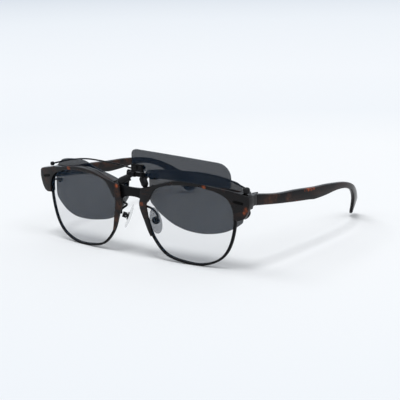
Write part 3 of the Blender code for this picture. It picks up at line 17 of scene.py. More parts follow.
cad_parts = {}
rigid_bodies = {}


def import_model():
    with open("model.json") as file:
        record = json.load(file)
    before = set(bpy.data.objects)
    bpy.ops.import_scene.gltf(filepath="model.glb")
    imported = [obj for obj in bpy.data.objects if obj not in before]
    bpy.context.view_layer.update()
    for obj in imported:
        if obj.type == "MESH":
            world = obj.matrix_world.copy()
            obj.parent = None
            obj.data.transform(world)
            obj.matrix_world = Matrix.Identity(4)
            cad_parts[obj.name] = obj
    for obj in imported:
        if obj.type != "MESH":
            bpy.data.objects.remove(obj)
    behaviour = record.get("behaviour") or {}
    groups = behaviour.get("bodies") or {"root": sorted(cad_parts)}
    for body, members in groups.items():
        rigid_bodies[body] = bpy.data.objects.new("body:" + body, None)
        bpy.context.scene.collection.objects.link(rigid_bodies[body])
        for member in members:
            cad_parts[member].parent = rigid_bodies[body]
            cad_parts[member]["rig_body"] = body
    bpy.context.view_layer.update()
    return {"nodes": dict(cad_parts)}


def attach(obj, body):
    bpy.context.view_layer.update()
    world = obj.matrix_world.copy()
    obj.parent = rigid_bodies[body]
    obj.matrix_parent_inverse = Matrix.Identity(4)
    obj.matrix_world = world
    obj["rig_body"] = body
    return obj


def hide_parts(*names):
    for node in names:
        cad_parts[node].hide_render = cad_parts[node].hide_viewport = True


for item in list(bpy.data.objects):
    bpy.data.objects.remove(item, do_unlink=True)
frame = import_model()
scene = bpy.context.scene

MM = 0.001
HAIR = 0.001 * MM
WELD = 0.01 * MM
LEFT, RIGHT = 1, -1

# The whole front
FRONT_WIDTH = 144 * MM
FACE_RADIUS = 385 * MM
FRONT_LEAN = math.radians(1.2)
FRONT_SET = -3.2 * MM
SEAT_GAP = 0.3 * MM
CLOSE_GAP = 0.15 * MM
OVERRUN = 2 * MM
BEND_STEP = 2 * MM

# Lens opening, as shares of half its width and half its height, from its outer side over the top
OPENING_WIDTH = 55.4 * MM
OPENING_HEIGHT = 42 * MM
OPENING_ACROSS = 35.6 * MM
OPENING_SHARES = (
    (0.99, 0.214), (0.93, 0.662), (0.656, 0.901), (0.08, 1.0), (-0.51, 0.909), (-0.859, 0.654),
    (-1.0, 0.396), (-0.895, -0.038), (-0.756, -0.485), (-0.474, -0.862), (-0.055, -0.986),
    (0.337, -0.974), (0.685, -0.773), (0.89, -0.388),
)

# Eyewire rims, which stand on the ground
RIM_WALL = 1.2 * MM
OPENING_UP = RIM_WALL + OPENING_HEIGHT / 2
RIM_DEPTH = 1.7 * MM
RIM_SET = 1.1 * MM
RIM_CHAMFER = 0.3 * MM
GROOVE_DEPTH = 0.6 * MM
GROOVE_HALF = 0.5 * MM

# Clear lenses
LENS_THICKNESS = 1.4 * MM
LENS_DOME = 1.2 * MM
LENS_TONGUE = 0.55 * MM
LENS_TONGUE_HALF = 0.3 * MM
LENS_RING_SHARES = (0.92, 0.8, 0.66, 0.5, 0.34, 0.18, 0.08)

# Brow pieces: the top edge as places across and up, then the outer end, then the nose tail
BROW_DEPTH = 4.8 * MM
BROW_WALL = 0.8 * MM
BROW_LIP = 0.25 * MM
BROW_TOP_SHARES = (
    (0.112, 0.86), (0.195, 0.893), (0.285, 0.935), (0.39, 0.98), (0.51, 1.0), (0.615, 0.988),
    (0.725, 0.964), (0.845, 0.94), (0.955, 0.908), (0.985, 0.898),
)
BROW_END_SHARES = (
    (1.0, 0.875), (1.003, 0.79), (0.985, 0.69), (0.958, 0.624), (0.925, 0.6),
)
BROW_NOSE_SHARES = ((0.093, 0.73), (0.095, 0.79), (0.102, 0.835))
BROW_HEIGHT = 45.6 * MM
BROW_TAIL_UP = 10 * MM
BROW_TAIL_TOP = 31 * MM
BROW_TAIL_EXTRA = 0.7 * MM
BROW_TAIL_END = 0.86
BROW_TAIL_SPREAD = 3.2 * MM
# How far the tail spreads into the opening, as shares at heights in mm
BROW_TAIL_SPREAD_SHARES = ((12, 20, 28, 35, 40), (0.0, 0.4, 0.9, 1.0, 0.0))
BROW_EDGE = 0.4 * MM
BROW_TOP_POINTS = 90
BROW_END_POINTS = 30
BROW_SHELF_ACROSS = 12.6 * MM
BROW_LOBE_ACROSS = 66.3 * MM
BROW_LOBE_UP = 33.4 * MM
BROW_LOBE_DEPTH = 2.4 * MM
RETURN_THICKNESS = 3.7 * MM
RETURN_INSET = 0.15 * MM
RETURN_TOP = 40.3 * MM
RETURN_BOTTOM = 34.5 * MM
RETURN_ROUNDING = 0.6 * MM
# Where the return ends and the temple starts
JOINT_BACK = BROW_DEPTH + 6.4 * MM

# Inlaid bars on the brow ends
INLAY_LENGTH = 5.4 * MM
INLAY_HEIGHT = 1.2 * MM
INLAY_PROUD = 0.25 * MM
INLAY_SINK = 0.5 * MM
INLAY_ACROSS = 66.3 * MM
INLAY_UP = 37 * MM
INLAY_TURN = math.radians(-9)

# Bridge between the rims
BRIDGE_DEPTH = 2.2 * MM
BRIDGE_SET = 2.1 * MM
BRIDGE_ROUNDING = 0.5 * MM
BRIDGE_HALF = 12.1 * MM
BRIDGE_UP = 38 * MM
BRIDGE_BOTTOM_POINTS = 10
BRIDGE_TOP_POINTS = 6
BRIDGE_TOP_SHARES = ((0.0, 1.0), (0.4, 1.003), (0.7, 1.018), (1.0, 1.045))
BRIDGE_BOTTOM_SHARES = (
    (1.0, 0.775), (0.8, 0.75), (0.71, 0.758), (0.62, 0.798), (0.5, 0.842), (0.25, 0.866),
    (0.0, 0.87),
)

# Temples: reach, middle height and outward place as shares, with height and thickness shares
TEMPLE_REACH = 126.5 * MM
TEMPLE_MIDDLE = 37.6 * MM
TEMPLE_HEIGHT = 7.7 * MM
TEMPLE_THICKNESS = 3.8 * MM
TEMPLE_SPLAY = 4.2 * MM
TEMPLE_TUCK = 13.2 * MM
TEMPLE_CORNER = 0.95 * MM
TEMPLE_SHARES = (
    (0.0, 0.992, 0.79, 0.0, 0.0, 1.0), (0.147, 0.912, 0.73, 0.42, 0.0, 0.96),
    (0.29, 0.86, 0.85, 0.72, 0.0, 0.93), (0.385, 0.824, 0.87, 0.9, 0.0, 0.9),
    (0.425, 0.806, 0.9, 0.96, 0.0, 0.89), (0.47, 0.797, 0.87, 1.0, 0.0, 0.87),
    (0.535, 0.789, 0.79, 1.04, 0.0, 0.84), (0.615, 0.777, 0.6, 1.06, 0.0, 0.8),
    (0.695, 0.747, 0.5, 1.06, 0.025, 0.77), (0.76, 0.698, 0.475, 1.05, 0.075, 0.74),
    (0.819, 0.624, 0.5, 1.04, 0.17, 0.72), (0.873, 0.518, 0.62, 1.03, 0.33, 0.7),
    (0.917, 0.4, 0.82, 1.02, 0.5, 0.67), (0.953, 0.286, 1.15, 1.01, 0.68, 0.64),
    (0.98, 0.196, 1.42, 1.0, 0.83, 0.62), (0.997, 0.14, 1.25, 1.0, 0.94, 0.58),
    (1.008, 0.101, 0.82, 1.0, 1.01, 0.48), (1.013, 0.082, 0.36, 1.0, 1.045, 0.26),
)
TEMPLE_STATIONS = 90
# The share of the path's turn inwards that its sections follow
TEMPLE_TWIST = 0.1
CORNER_LIMIT = 0.45
CORE_HEIGHT = 1.9 * MM
CORE_THICKNESS = 0.9 * MM
CORE_END = 104 * MM
CORE_FINE_POINTS = 200
CORE_POINTS = 20

# Nose pads on their arms
PAD_TOP = (6.8 * MM, 7.5 * MM, 26 * MM)
PAD_BOTTOM = (11.8 * MM, 5.2 * MM, 12.2 * MM)
PAD_SPLAY = math.radians(38)
PAD_WIDTH = 6.8 * MM
PAD_THICKNESS = 2.4 * MM
PAD_BACK_SHARE = 0.3
PAD_TAPER = 0.25
PAD_SEGMENTS, PAD_RINGS = 16, 8
PAD_PLATE_THICKNESS = 0.5 * MM
PAD_LUG_RADIUS = 0.95 * MM
PAD_LUG_REACH = 2 * MM
PAD_BOX_WALL = 0.5 * MM
PAD_ARM_RADIUS = 0.62 * MM
PAD_ARM_UP = 28.6 * MM
PAD_ARM_BULGE = (8.8 * MM, 4.1 * MM, 26.2 * MM)
PAD_ARM_POINTS = 16

# Clip-on: its centre barrel, end knobs and the legs that stand on the bridge
BARREL_LENGTH = 8.4 * MM
BARREL_RADIUS = 1.65 * MM
BARREL_WAIST = 1.3 * MM
BARREL_BACK = 4.7 * MM
BARREL_UP = 44.1 * MM
KNOB_RADIUS = 1.9 * MM
KNOB_LENGTH = 1.5 * MM
LEG_RADIUS = 0.6 * MM
LEG_ACROSS = 8.2 * MM
LEG_TOP_SHARE = 0.22
LEG_LIFT = 0.75 * MM
SLEEVE_RADIUS = 2.0 * MM
SLEEVE_SHARE = 0.84
SLEEVE_ROUND_DEGREES = (0, 35, 65)

# Clip-on: dark lower lenses, as shares of half their width and half their height
CLIP_LENS_WIDTH = 57.9 * MM
CLIP_LENS_HEIGHT = 34 * MM
CLIP_LENS_ACROSS = 35.85 * MM
CLIP_LENS_UP = 32.2 * MM
CLIP_LENS_THICKNESS = 1.0 * MM
CLIP_RADIUS = 555 * MM
LEFT_LENS_SHARES = (
    (1.0, -0.376), (1.0, 0.1), (1.0, 0.565), (0.983, 0.67), (0.9, 0.794), (0.744, 0.859),
    (0.43, 0.918), (0.105, 0.959), (-0.23, 0.965), (-0.623, 0.947), (-0.92, 0.906),
    (-0.979, 0.829), (-0.985, 0.35), (-0.976, -0.088), (-0.869, -0.294), (-0.724, -0.5),
    (-0.472, -0.747), (-0.192, -0.894), (0.126, -0.941), (0.375, -0.906), (0.596, -0.824),
    (0.775, -0.7), (0.934, -0.529),
)
RIGHT_LENS_SHARES = (
    (1.0, -0.376), (1.0, 0.1), (1.0, 0.565), (0.97, 0.57), (0.87, 0.72), (0.744, 0.859),
    (0.43, 0.918), (0.16, 0.9), (-0.06, 0.78), (-0.271, 0.665), (-0.548, 0.547), (-0.8, 0.41),
    (-0.95, 0.28), (-0.985, 0.16), (-0.96, -0.09), (-0.86, -0.34), (-0.742, -0.62), (-0.634, -0.8),
    (-0.461, -0.94), (-0.192, -1.035), (0.085, -1.09), (0.368, -1.09), (0.55, -1.03),
    (0.7, -0.925), (0.83, -0.765), (0.948, -0.575),
)
WIRE_RADIUS = 0.45 * MM
WIRE_ROUTE_SHARES = ((0.105, 0.965), (0.25, 0.988), (0.45, 1.0), (0.62, 0.998))
WIRE_END_SHARES = {
    LEFT: ((0.79, 0.964), (0.895, 0.912), (0.95, 0.878)),
    RIGHT: ((0.79, 0.968), (0.895, 0.938), (0.95, 0.918)),
}
WIRE_BEHIND_GAP = 0.39 * MM
WIRE_ACROSS = {LEFT: 69.6 * MM, RIGHT: 64.2 * MM}
WIRE_DROP = 0.7 * MM
WIRE_POINTS = 120
GRIP_BACK = 4.8 * MM
GRIP_LIFT = 0.4 * MM
GRIP_RADIUS = 1.8 * MM
GRIP_HEIGHT = 3.1 * MM
# The right grip is smaller: it is hidden behind its brow
GRIP_SCALE = {LEFT: 1.0, RIGHT: 0.68}
GRIP_APPROACH = 1.3
GRIP_BORE_POINTS = 14
GRIP_BORE_GAP = 0.24 * MM
GRIP_SHARES = (
    (0.0, 1.0), (0.55, 1.0), (0.85, 0.75), (1.0, 0.3), (1.0, -0.3), (0.85, -0.8), (0.6, -1.0),
    (0.0, -1.0),
)
HOOK_RADIUS = 0.5 * MM
HOOK_START = (61.6 * MM, 33.6 * MM)
HOOK_ROUTE = MM * np.array((
    (64.4, 9.9, 33.6), (67.4, 8.5, 33.1), (69.6, 6.9, 32.6),
    (70.3, 6.5, 31.1), (69.3, 6.3, 29.2), (67.4, 6.4, 27.9),
))
HOOK_POINTS = 26
CLIP_PLATE_LENGTH = 7 * MM
CLIP_PLATE_HEIGHT = 3.6 * MM
CLIP_PLATE_THICKNESS = 0.7 * MM
CLIP_RIVET_PLACE = {LEFT: (11.3 * MM, 44.1 * MM), RIGHT: (11 * MM, 36.8 * MM)}
RIGHT_PLATE_SHARES = (
    (0.0, 1.0), (0.0, 0.66), (0.18, 0.58), (0.3, 0.36), (0.36, 0.06), (0.46, 0.0), (0.9, 0.0),
    (1.0, 0.08), (1.0, 0.26), (0.9, 0.36), (0.66, 0.52), (0.5, 0.72), (0.44, 0.94), (0.36, 1.0),
)
RIVET_RADIUS = 0.55 * MM
RIVET_HEAD_RADIUS = 1.15 * MM
RIVET_HEAD = 0.45 * MM

# Clip-on: the lens that flips, and its hinge
FLIP_LENS_WIDTH = 64.6 * MM
FLIP_LENS_ACROSS = 36 * MM
FLIP_LENS_FALL = 2.1 * MM
FLIP_LENS_BOTTOM = 46.3 * MM
FLIP_LENS_HEIGHT = 14.2 * MM
FLIP_LENS_THICKNESS = 1.0 * MM
FLIP_LENS_SET = 0.9 * MM
FLIP_LENS_RADIUS = 1000 * MM
FLIP_INNER_CORNER = 3 * MM
FLIP_OUTER_CORNER = 8 * MM
FLIP_LOWER_CORNER = 2 * MM
FLIP_NOTCH_ACROSS = 12.9 * MM
FLIP_NOTCH_RISE = 2.6 * MM
FLIP_BACK = -6 * MM
FLIP_LUG_THICKNESS = 0.75 * MM
FLIP_RIVET_UP = 50.8 * MM
FLIP_RIVET_ACROSS = (7.2 * MM, 10.8 * MM)

# From the source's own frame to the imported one
SHIFT = Vector((0.0, -66.229 * MM, 0.002 * MM))

# How finely curves, turned pieces and rounded edges are cut
OUTLINE_POINTS = 168
CURVE_STEPS = np.linspace(0.0, 1.0, 24, endpoint=False)
ROUND_STEPS = 40
SMALL_STEPS = 28
CORNER_STEPS = 3
FLIP_CORNER_STEPS = 6
TUBE_RESOLUTION = 4
PRISM_RESOLUTION = 3
ROUNDING_SEGMENTS = 4
ROUNDED_ANGLE = math.radians(60)
SHARP_ANGLE = math.radians(40)
FLAT_ANGLE = math.radians(0.5)
SMALL_ROUNDING = 0.12 * MM

# Camera, floor and light
PHOTO_PIXELS = 400
FOCAL_PIXELS = 1032
SENSOR_WIDTH = 36.0
# Round to the wearer's left, up, and rolled
CAMERA_TURNS = (math.radians(35.68), math.radians(13.60), math.radians(-1.24))
CAMERA_TARGET = Vector((8.0 * MM, 50.0 * MM, 21.3 * MM))
CAMERA_DISTANCE = 598.1 * MM
CAMERA_CLIP = (0.01, 20.0)
FLOOR_SIZE = 24.0
FLOOR_CENTER = (0.0, 0.12, 0.0)
# Distances from the floor's centre in metres, and the colour there: painted shade darkens a faint
# ring and the far floor
FLOOR_COLOR_AND_SHADE = (
    (0.18, (0.9, 0.918, 0.935)), (0.36, (0.85, 0.88, 0.912)), (0.7, (0.865, 0.89, 0.92)),
    (1.8, (0.815, 0.85, 0.89)), (3.2, (0.70, 0.745, 0.80)),
)
SUN_ANGLE = math.radians(20)
# Each sun's power, and its lean to a side and backwards in degrees
SUNS = ((1.05, -4, 13), (0.27, -42, 6), (0.27, -26, 6), (0.3, 22, 6), (0.3, 40, 6))
WORLD_COLOR = (0.95, 0.97, 1.0)
WORLD_STRENGTH = 0.44
BACKDROP_COLOR = (0.745, 0.80, 0.865)


# Places on the front, the clip-on and the flip lens

def on_front(across, up, deep):
    """World place of a plan point on the leaning, gently curved front."""
    lean, upright = math.sin(FRONT_LEAN), math.cos(FRONT_LEAN)
    curve = across * across / (2 * FACE_RADIUS)
    back = curve - up * lean + (deep + FRONT_SET) * upright
    return Vector((across, back, up * upright + (deep - RIM_SET) * lean))


def on_clip(across, up, deep):
    """World place of a plan point on the clip-on's upright, curved lens surface."""
    return Vector((across, BARREL_BACK + across * across / (2 * CLIP_RADIUS) + deep, up))


def on_flip(across, up, deep):
    """World place of a plan point on the raised flip lens, which curves the other way."""
    back = FLIP_BACK + FLIP_LENS_SET - across * across / (2 * FLIP_LENS_RADIUS)
    return Vector((across, back + deep, up))


# Outlines

def spline(a, b, c, d, t):
    """Catmull-Rom point between b and c."""
    square = 2 * a - 5 * b + 4 * c - d
    cube = 3 * b - a - 3 * c + d
    return 0.5 * (2 * b + (c - a) * t + square * t * t + cube * t ** 3)


def spaced(line, count, length=None):
    """Points at even lengths along a fine polyline, or along a first length of it."""
    lengths = np.r_[0.0, np.cumsum(np.linalg.norm(np.diff(line, axis=0), axis=1))]
    wanted = np.linspace(0.0, lengths[-1] if length is None else length, count)
    return np.stack([np.interp(wanted, lengths, line[:, k]) for k in range(line.shape[1])], axis=1)


def smooth(points, count, closed=False):
    """Evenly spaced points of the Catmull-Rom curve through the given ones."""
    control = np.asarray(points, float)
    if closed:
        padded = np.vstack([control[-1:], control, control[:2]])
    else:
        padded = np.vstack([2 * control[0] - control[1], control, 2 * control[-1] - control[-2]])
    windows = zip(padded, padded[1:], padded[2:], padded[3:])
    fine = [spline(*window, t) for window in windows for t in CURVE_STEPS]
    fine = np.array([*fine, padded[-2]])
    return spaced(fine, count + 1)[:-1] if closed else spaced(fine, count)


def grown(outline, distance):
    """A closed counter-clockwise outline moved outwards by a distance."""
    outline = np.asarray(outline, float)
    tangent = np.roll(outline, -1, axis=0) - np.roll(outline, 1, axis=0)
    tangent /= np.linalg.norm(tangent, axis=1)[:, None]
    return outline + distance * np.stack([tangent[:, 1], -tangent[:, 0]], axis=1)


def shares_outline(shares, size, centre):
    """The closed outline through points given as shares of half its size."""
    return smooth(np.array(shares) * size / 2 + centre, OUTLINE_POINTS, closed=True)


def opening_outline():
    size, centre = (OPENING_WIDTH, OPENING_HEIGHT), (OPENING_ACROSS, OPENING_UP)
    return shares_outline(OPENING_SHARES, size, centre)


def rounded_rectangle(width, height, corners, steps):
    """Closed outline from the lower left corner round, with a radius for each corner."""
    centres = ((-1, -1, 180), (1, -1, 270), (1, 1, 0), (-1, 1, 90))
    outline = []
    for (sx, sy, start), radius in zip(centres, corners):
        for k in range(steps + 1):
            turn = math.radians(start + 90 * k / steps)
            outline.append((sx * (width / 2 - radius) + radius * math.cos(turn),
                            sy * (height / 2 - radius) + radius * math.sin(turn)))
    return np.array(outline)


# Solids

def side_name(name, side):
    return name + ("_left" if side == LEFT else "_right")


def mirror(side):
    return Matrix.Diagonal((side, 1.0, 1.0, 1.0))


def placed(place, along, hint=(0.0, 0.0, 1.0)):
    """A frame at a place, whose Z runs along a direction and whose X is nearest to the hint."""
    z = Vector(along).normalized()
    x = (Vector(hint) - z * z.dot(Vector(hint))).normalized()
    return Matrix.Translation(place) @ Matrix((x, z.cross(x), z)).transposed().to_4x4()


def linked(data, name="piece"):
    """A new object in the scene for its data."""
    item = bpy.data.objects.new(name, data)
    scene.collection.objects.link(item)
    return item


def close_shape(shape, mesh):
    """Writes a closed shape to a mesh with all its faces turned outwards."""
    bmesh.ops.recalc_face_normals(shape, faces=shape.faces)
    if shape.calc_volume(signed=True) < 0:
        bmesh.ops.reverse_faces(shape, faces=shape.faces)
    shape.to_mesh(mesh)
    shape.free()


def shape_object(shape):
    """A closed shape as an object."""
    mesh = bpy.data.meshes.new("piece")
    close_shape(shape, mesh)
    return linked(mesh)


def baked(item):
    """The object as a plain mesh, with its curve or modifiers worked out and its caps welded."""
    graph = bpy.context.evaluated_depsgraph_get()
    mesh = bpy.data.meshes.new_from_object(item.evaluated_get(graph))
    shape = bmesh.new()
    shape.from_mesh(mesh)
    bmesh.ops.remove_doubles(shape, verts=shape.verts, dist=HAIR)
    bmesh.ops.transform(shape, matrix=item.matrix_world, verts=shape.verts)
    close_shape(shape, mesh)
    bpy.data.objects.remove(item, do_unlink=True)
    return linked(mesh)


def curve_object(points, dimensions, **settings):
    """A curve of straight runs through points."""
    data = bpy.data.curves.new("piece", "CURVE")
    data.dimensions = dimensions
    for key, value in settings.items():
        setattr(data, key, value)
    line = data.splines.new("POLY")
    line.points.add(len(points) - 1)
    for point, place in zip(line.points, points):
        point.co = Vector(place).to_4d()
    return linked(data)


def tube(points, radius):
    """A round wire along points, as a curve with filled ends."""
    return curve_object(
        points, "3D", bevel_depth=radius, bevel_resolution=TUBE_RESOLUTION, use_fill_caps=True
    )


def side_tube(route, radius, side):
    """A round wire along a route that is given on the left side."""
    return tube([mirror(side) @ Vector(point) for point in route], radius)


def prism(outline, front, back, rounding=0.0):
    """A flat outline made solid between two depths, with rounded edges."""
    item = curve_object(
        outline, "2D", fill_mode="BOTH", extrude=(back - front) / 2 - rounding,
        bevel_depth=rounding, bevel_resolution=PRISM_RESOLUTION, offset=-rounding,
    )
    item.data.splines[0].use_cyclic_u = True
    item.location.z = (front + back) / 2
    bpy.context.view_layer.update()
    return baked(item)


def turned(profile, steps=SMALL_STEPS):
    """A profile of (radius, height), from the top down its outer side, turned about Z."""
    mesh = bpy.data.meshes.new("piece")
    edges = [(i, i + 1) for i in range(len(profile) - 1)]
    mesh.from_pydata([(radius, 0.0, height) for radius, height in profile], edges, [])
    item = linked(mesh)
    screw = item.modifiers.new("Turn", "SCREW")
    screw.steps = screw.render_steps = steps
    screw.use_merge_vertices = True
    screw.merge_threshold = WELD
    return baked(item)


def box(low, high):
    shape = bmesh.new()
    bmesh.ops.create_cube(shape, size=1.0)
    low, high = Vector(low), Vector(high)
    fit = Matrix.Translation((low + high) / 2) @ Matrix.Diagonal((*(high - low), 1.0))
    bmesh.ops.transform(shape, matrix=fit, verts=shape.verts)
    return shape_object(shape)


def add_bevel(item, width, segments, angle):
    """A rounding of the edges that are sharper than an angle, as a modifier."""
    bevel = item.modifiers.new("Rounding", "BEVEL")
    bevel.width = width
    bevel.segments = segments
    bevel.limit_method = "ANGLE"
    bevel.angle_limit = angle
    return bevel


def loft(sections, closed=False):
    """A skin over rings of points, closed round to the first ring or capped at both ends."""
    shape = bmesh.new()
    rings = [[shape.verts.new(place) for place in section] for section in sections]
    pairs = list(zip(rings, rings[1:]))
    if closed:
        pairs.append((rings[-1], rings[0]))
    else:
        shape.faces.new(rings[0])
        shape.faces.new(rings[-1])
    for one, other in pairs:
        for k in range(len(one)):
            following = (k + 1) % len(one)
            shape.faces.new((one[k], one[following], other[following], other[k]))
    return shape_object(shape)


def combined(solid, tool, operation):
    """The solid with the tool's shape joined to it or cut from it. The tool is used up."""
    change = solid.modifiers.new(operation.title(), "BOOLEAN")
    change.operation = operation
    change.object = tool
    result = baked(solid)
    bpy.data.objects.remove(tool, do_unlink=True)
    return result


def cut(solid, tool):
    return combined(solid, tool, "DIFFERENCE")


def moved(solid, matrix):
    """The solid with its mesh carried by a matrix; a mirrored one is turned right side out."""
    solid.data.transform(matrix)
    if matrix.determinant() < 0:
        solid.data.flip_normals()
    return solid


def mapped(solid, place, side, step=BEND_STEP):
    """Bends a flat solid onto a curved surface, after slicing it across so that it can bend."""
    shape = bmesh.new()
    shape.from_mesh(solid.data)
    bmesh.ops.dissolve_limit(shape, angle_limit=FLAT_ANGLE, verts=shape.verts, edges=shape.edges)
    low = min(vert.co.x for vert in shape.verts)
    high = max(vert.co.x for vert in shape.verts)
    for k in range(math.ceil(low / step), math.ceil(high / step)):
        geometry = [*shape.verts, *shape.edges, *shape.faces]
        bmesh.ops.bisect_plane(shape, geom=geometry, plane_co=(k * step, 0, 0), plane_no=(1, 0, 0))
    for vert in shape.verts:
        x, y, z = place(*vert.co)
        vert.co = (side * x, y, z)
    close_shape(shape, solid.data)
    return solid


# The frame's front

def ring_loops(profile, side):
    """Rings of the lens opening, each grown by a first value and set at the depth of a second."""
    outline = opening_outline()
    loops = []
    for growth, deep in profile:
        ring = grown(outline, growth)
        loops.append([mirror(side) @ on_front(across, up, deep) for across, up in ring])
    return loops


def build_rim(side):
    """A closed eyewire with a V groove round its inside for the lens edge."""
    middle = RIM_SET + RIM_DEPTH / 2
    half = RIM_DEPTH / 2
    profile = (
        (0.0, middle - half), (0.0, middle - GROOVE_HALF), (GROOVE_DEPTH, middle),
        (0.0, middle + GROOVE_HALF), (0.0, middle + half),
        (RIM_WALL - RIM_CHAMFER, middle + half), (RIM_WALL, middle + half - RIM_CHAMFER),
        (RIM_WALL, middle - half + RIM_CHAMFER), (RIM_WALL - RIM_CHAMFER, middle - half),
    )
    return loft(ring_loops(profile, side), closed=True)


def build_lens(side):
    """A lens whose faces bulge forwards, with a tongue round its edge for the rim's groove."""
    middle = RIM_SET + RIM_DEPTH / 2
    half = LENS_THICKNESS / 2
    inside = -CLOSE_GAP
    edge = (
        (inside, middle - half), (inside, middle - LENS_TONGUE_HALF), (inside + LENS_TONGUE, middle),
        (inside, middle + LENS_TONGUE_HALF), (inside, middle + half),
    )
    outline = opening_outline()
    centre = outline.mean(axis=0)

    def inner_ring(share, face):
        deep = middle + face * half - LENS_DOME * (1 - share * share)
        shrunk = centre + (grown(outline, inside) - centre) * share
        return [mirror(side) @ on_front(across, up, deep) for across, up in shrunk]

    front = [inner_ring(share, -1) for share in reversed(LENS_RING_SHARES)]
    back = [inner_ring(share, 1) for share in LENS_RING_SHARES]
    return loft(front + ring_loops(edge, side) + back)


def brow_outline():
    """The brow seen from the front: top edge, outer end, lens opening and a tapering nose tail."""
    scale = np.array([FRONT_WIDTH / 2, BROW_HEIGHT])
    nose = np.array(BROW_NOSE_SHARES) * scale
    top = np.array(BROW_TOP_SHARES) * scale
    end = np.array(BROW_END_SHARES) * scale
    opening = opening_outline()
    lip = grown(opening, BROW_LIP)
    highest = int(np.argmax(lip[:, 1]))
    outer_side = [point for point in lip[:highest] if point[1] > end[-1][1]]
    stretch = [k for k in range(highest, len(opening))
               if opening[k, 0] < OPENING_ACROSS and opening[k, 1] > BROW_TAIL_UP]
    fallen = (BROW_TAIL_TOP - opening[stretch, 1:]) / (BROW_TAIL_TOP - BROW_TAIL_UP)
    narrowing = np.clip(fallen, 0.0, 1.0)
    middle = grown(opening, RIM_WALL / 2)[stretch]
    inner = lip[stretch] * (1 - narrowing ** 2) + middle * narrowing ** 2
    outer = grown(opening, RIM_WALL + BROW_TAIL_EXTRA)[stretch]
    outer = outer * (1 - narrowing ** 3) + middle * narrowing ** 3
    spread_share = np.interp(opening[stretch, 1:] / MM, *BROW_TAIL_SPREAD_SHARES)
    inner = inner * (1 - spread_share) + grown(opening, -BROW_TAIL_SPREAD)[stretch] * spread_share
    tail = outer[(narrowing[:, 0] > 0) & (narrowing[:, 0] < BROW_TAIL_END)][::-1]
    inner = inner[narrowing[:, 0] < BROW_TAIL_END]
    top_line = smooth(np.vstack([tail[-1:], nose, top]), BROW_TOP_POINTS)[1:]
    end_line = smooth(end, BROW_END_POINTS)
    return np.vstack([tail, top_line, end_line, outer_side, inner])


def inlay_solid(growth, proud, sink):
    """The bar let into the brow's face, or its pocket when grown."""
    length, height = INLAY_LENGTH + 2 * growth, INLAY_HEIGHT + 2 * growth
    outline = rounded_rectangle(length, height, (INLAY_HEIGHT / 2,) * 4, CORNER_STEPS)
    cosine, sine = math.cos(INLAY_TURN), math.sin(INLAY_TURN)
    turn = np.array([[cosine, -sine], [sine, cosine]])
    outline = outline @ turn.T + [INLAY_ACROSS, INLAY_UP]
    return prism(outline, -proud, sink)


def trim_behind(solid, back):
    """Cuts away what lies further back than a plane, and closes the cut."""
    shape = bmesh.new()
    shape.from_mesh(solid.data)
    geometry = [*shape.verts, *shape.edges, *shape.faces]
    found = bmesh.ops.bisect_plane(
        shape, geom=geometry, plane_co=(0, back, 0), plane_no=(0, 1, 0), clear_outer=True)
    rim = [item for item in found["geom_cut"] if isinstance(item, bmesh.types.BMEdge)]
    bmesh.ops.contextual_create(shape, geom=rim)
    close_shape(shape, solid.data)


def build_brow(side):
    """A brow piece, hollowed behind to sit over its rim, with a return that meets the temple."""
    brow = prism(brow_outline(), 0.0, BROW_DEPTH, BROW_EDGE)
    channel = grown(opening_outline(), RIM_WALL + SEAT_GAP)
    brow = cut(brow, prism(channel, BROW_WALL, BROW_DEPTH + OVERRUN))
    behind = BROW_DEPTH + OVERRUN
    shelf = box((-OVERRUN, 0.0, BROW_WALL + CLOSE_GAP / 3),
                (BROW_SHELF_ACROSS, BROW_HEIGHT + OVERRUN, behind))
    lobe = box((BROW_LOBE_ACROSS, 0.0, BROW_LOBE_DEPTH), (FRONT_WIDTH, BROW_LOBE_UP, behind))
    brow = cut(cut(brow, shelf), lobe)
    outer = FRONT_WIDTH / 2 - RETURN_INSET
    tail = box((outer - RETURN_THICKNESS, RETURN_BOTTOM, BROW_WALL + OVERRUN),
               (outer, RETURN_TOP, JOINT_BACK + OVERRUN))
    add_bevel(tail, RETURN_ROUNDING, ROUNDING_SEGMENTS, ROUNDED_ANGLE)
    brow = combined(brow, baked(tail), "UNION")
    brow = cut(brow, inlay_solid(CLOSE_GAP, OVERRUN, INLAY_SINK))
    brow = mapped(brow, on_front, side)
    trim_behind(brow, JOINT_BACK - CLOSE_GAP)
    return brow


def build_end_inlay(side):
    bar = inlay_solid(0.0, INLAY_PROUD, INLAY_SINK - CLOSE_GAP)
    return mapped(bar, on_front, side)


def build_bridge():
    """A cast bar whose ends flare down the noses of both rims."""
    scale = np.array([BRIDGE_HALF, BRIDGE_UP])
    lower = smooth(np.array(BRIDGE_BOTTOM_SHARES)[::-1] * scale, BRIDGE_BOTTOM_POINTS)
    upper = smooth(np.array(BRIDGE_TOP_SHARES)[::-1] * scale, BRIDGE_TOP_POINTS)
    half = np.vstack([lower, upper])
    outline = np.vstack([half, (half * [-1, 1])[::-1][1:-1]])
    bridge = prism(outline, BRIDGE_SET, BRIDGE_SET + BRIDGE_DEPTH, BRIDGE_ROUNDING)
    seat = grown(opening_outline(), RIM_WALL + CLOSE_GAP)
    for side in (LEFT, RIGHT):
        bridge = cut(bridge, prism(seat * [side, 1], -OVERRUN, BROW_DEPTH + 2 * OVERRUN))
    return mapped(bridge, on_front, LEFT, BEND_STEP / 2)


# Temples

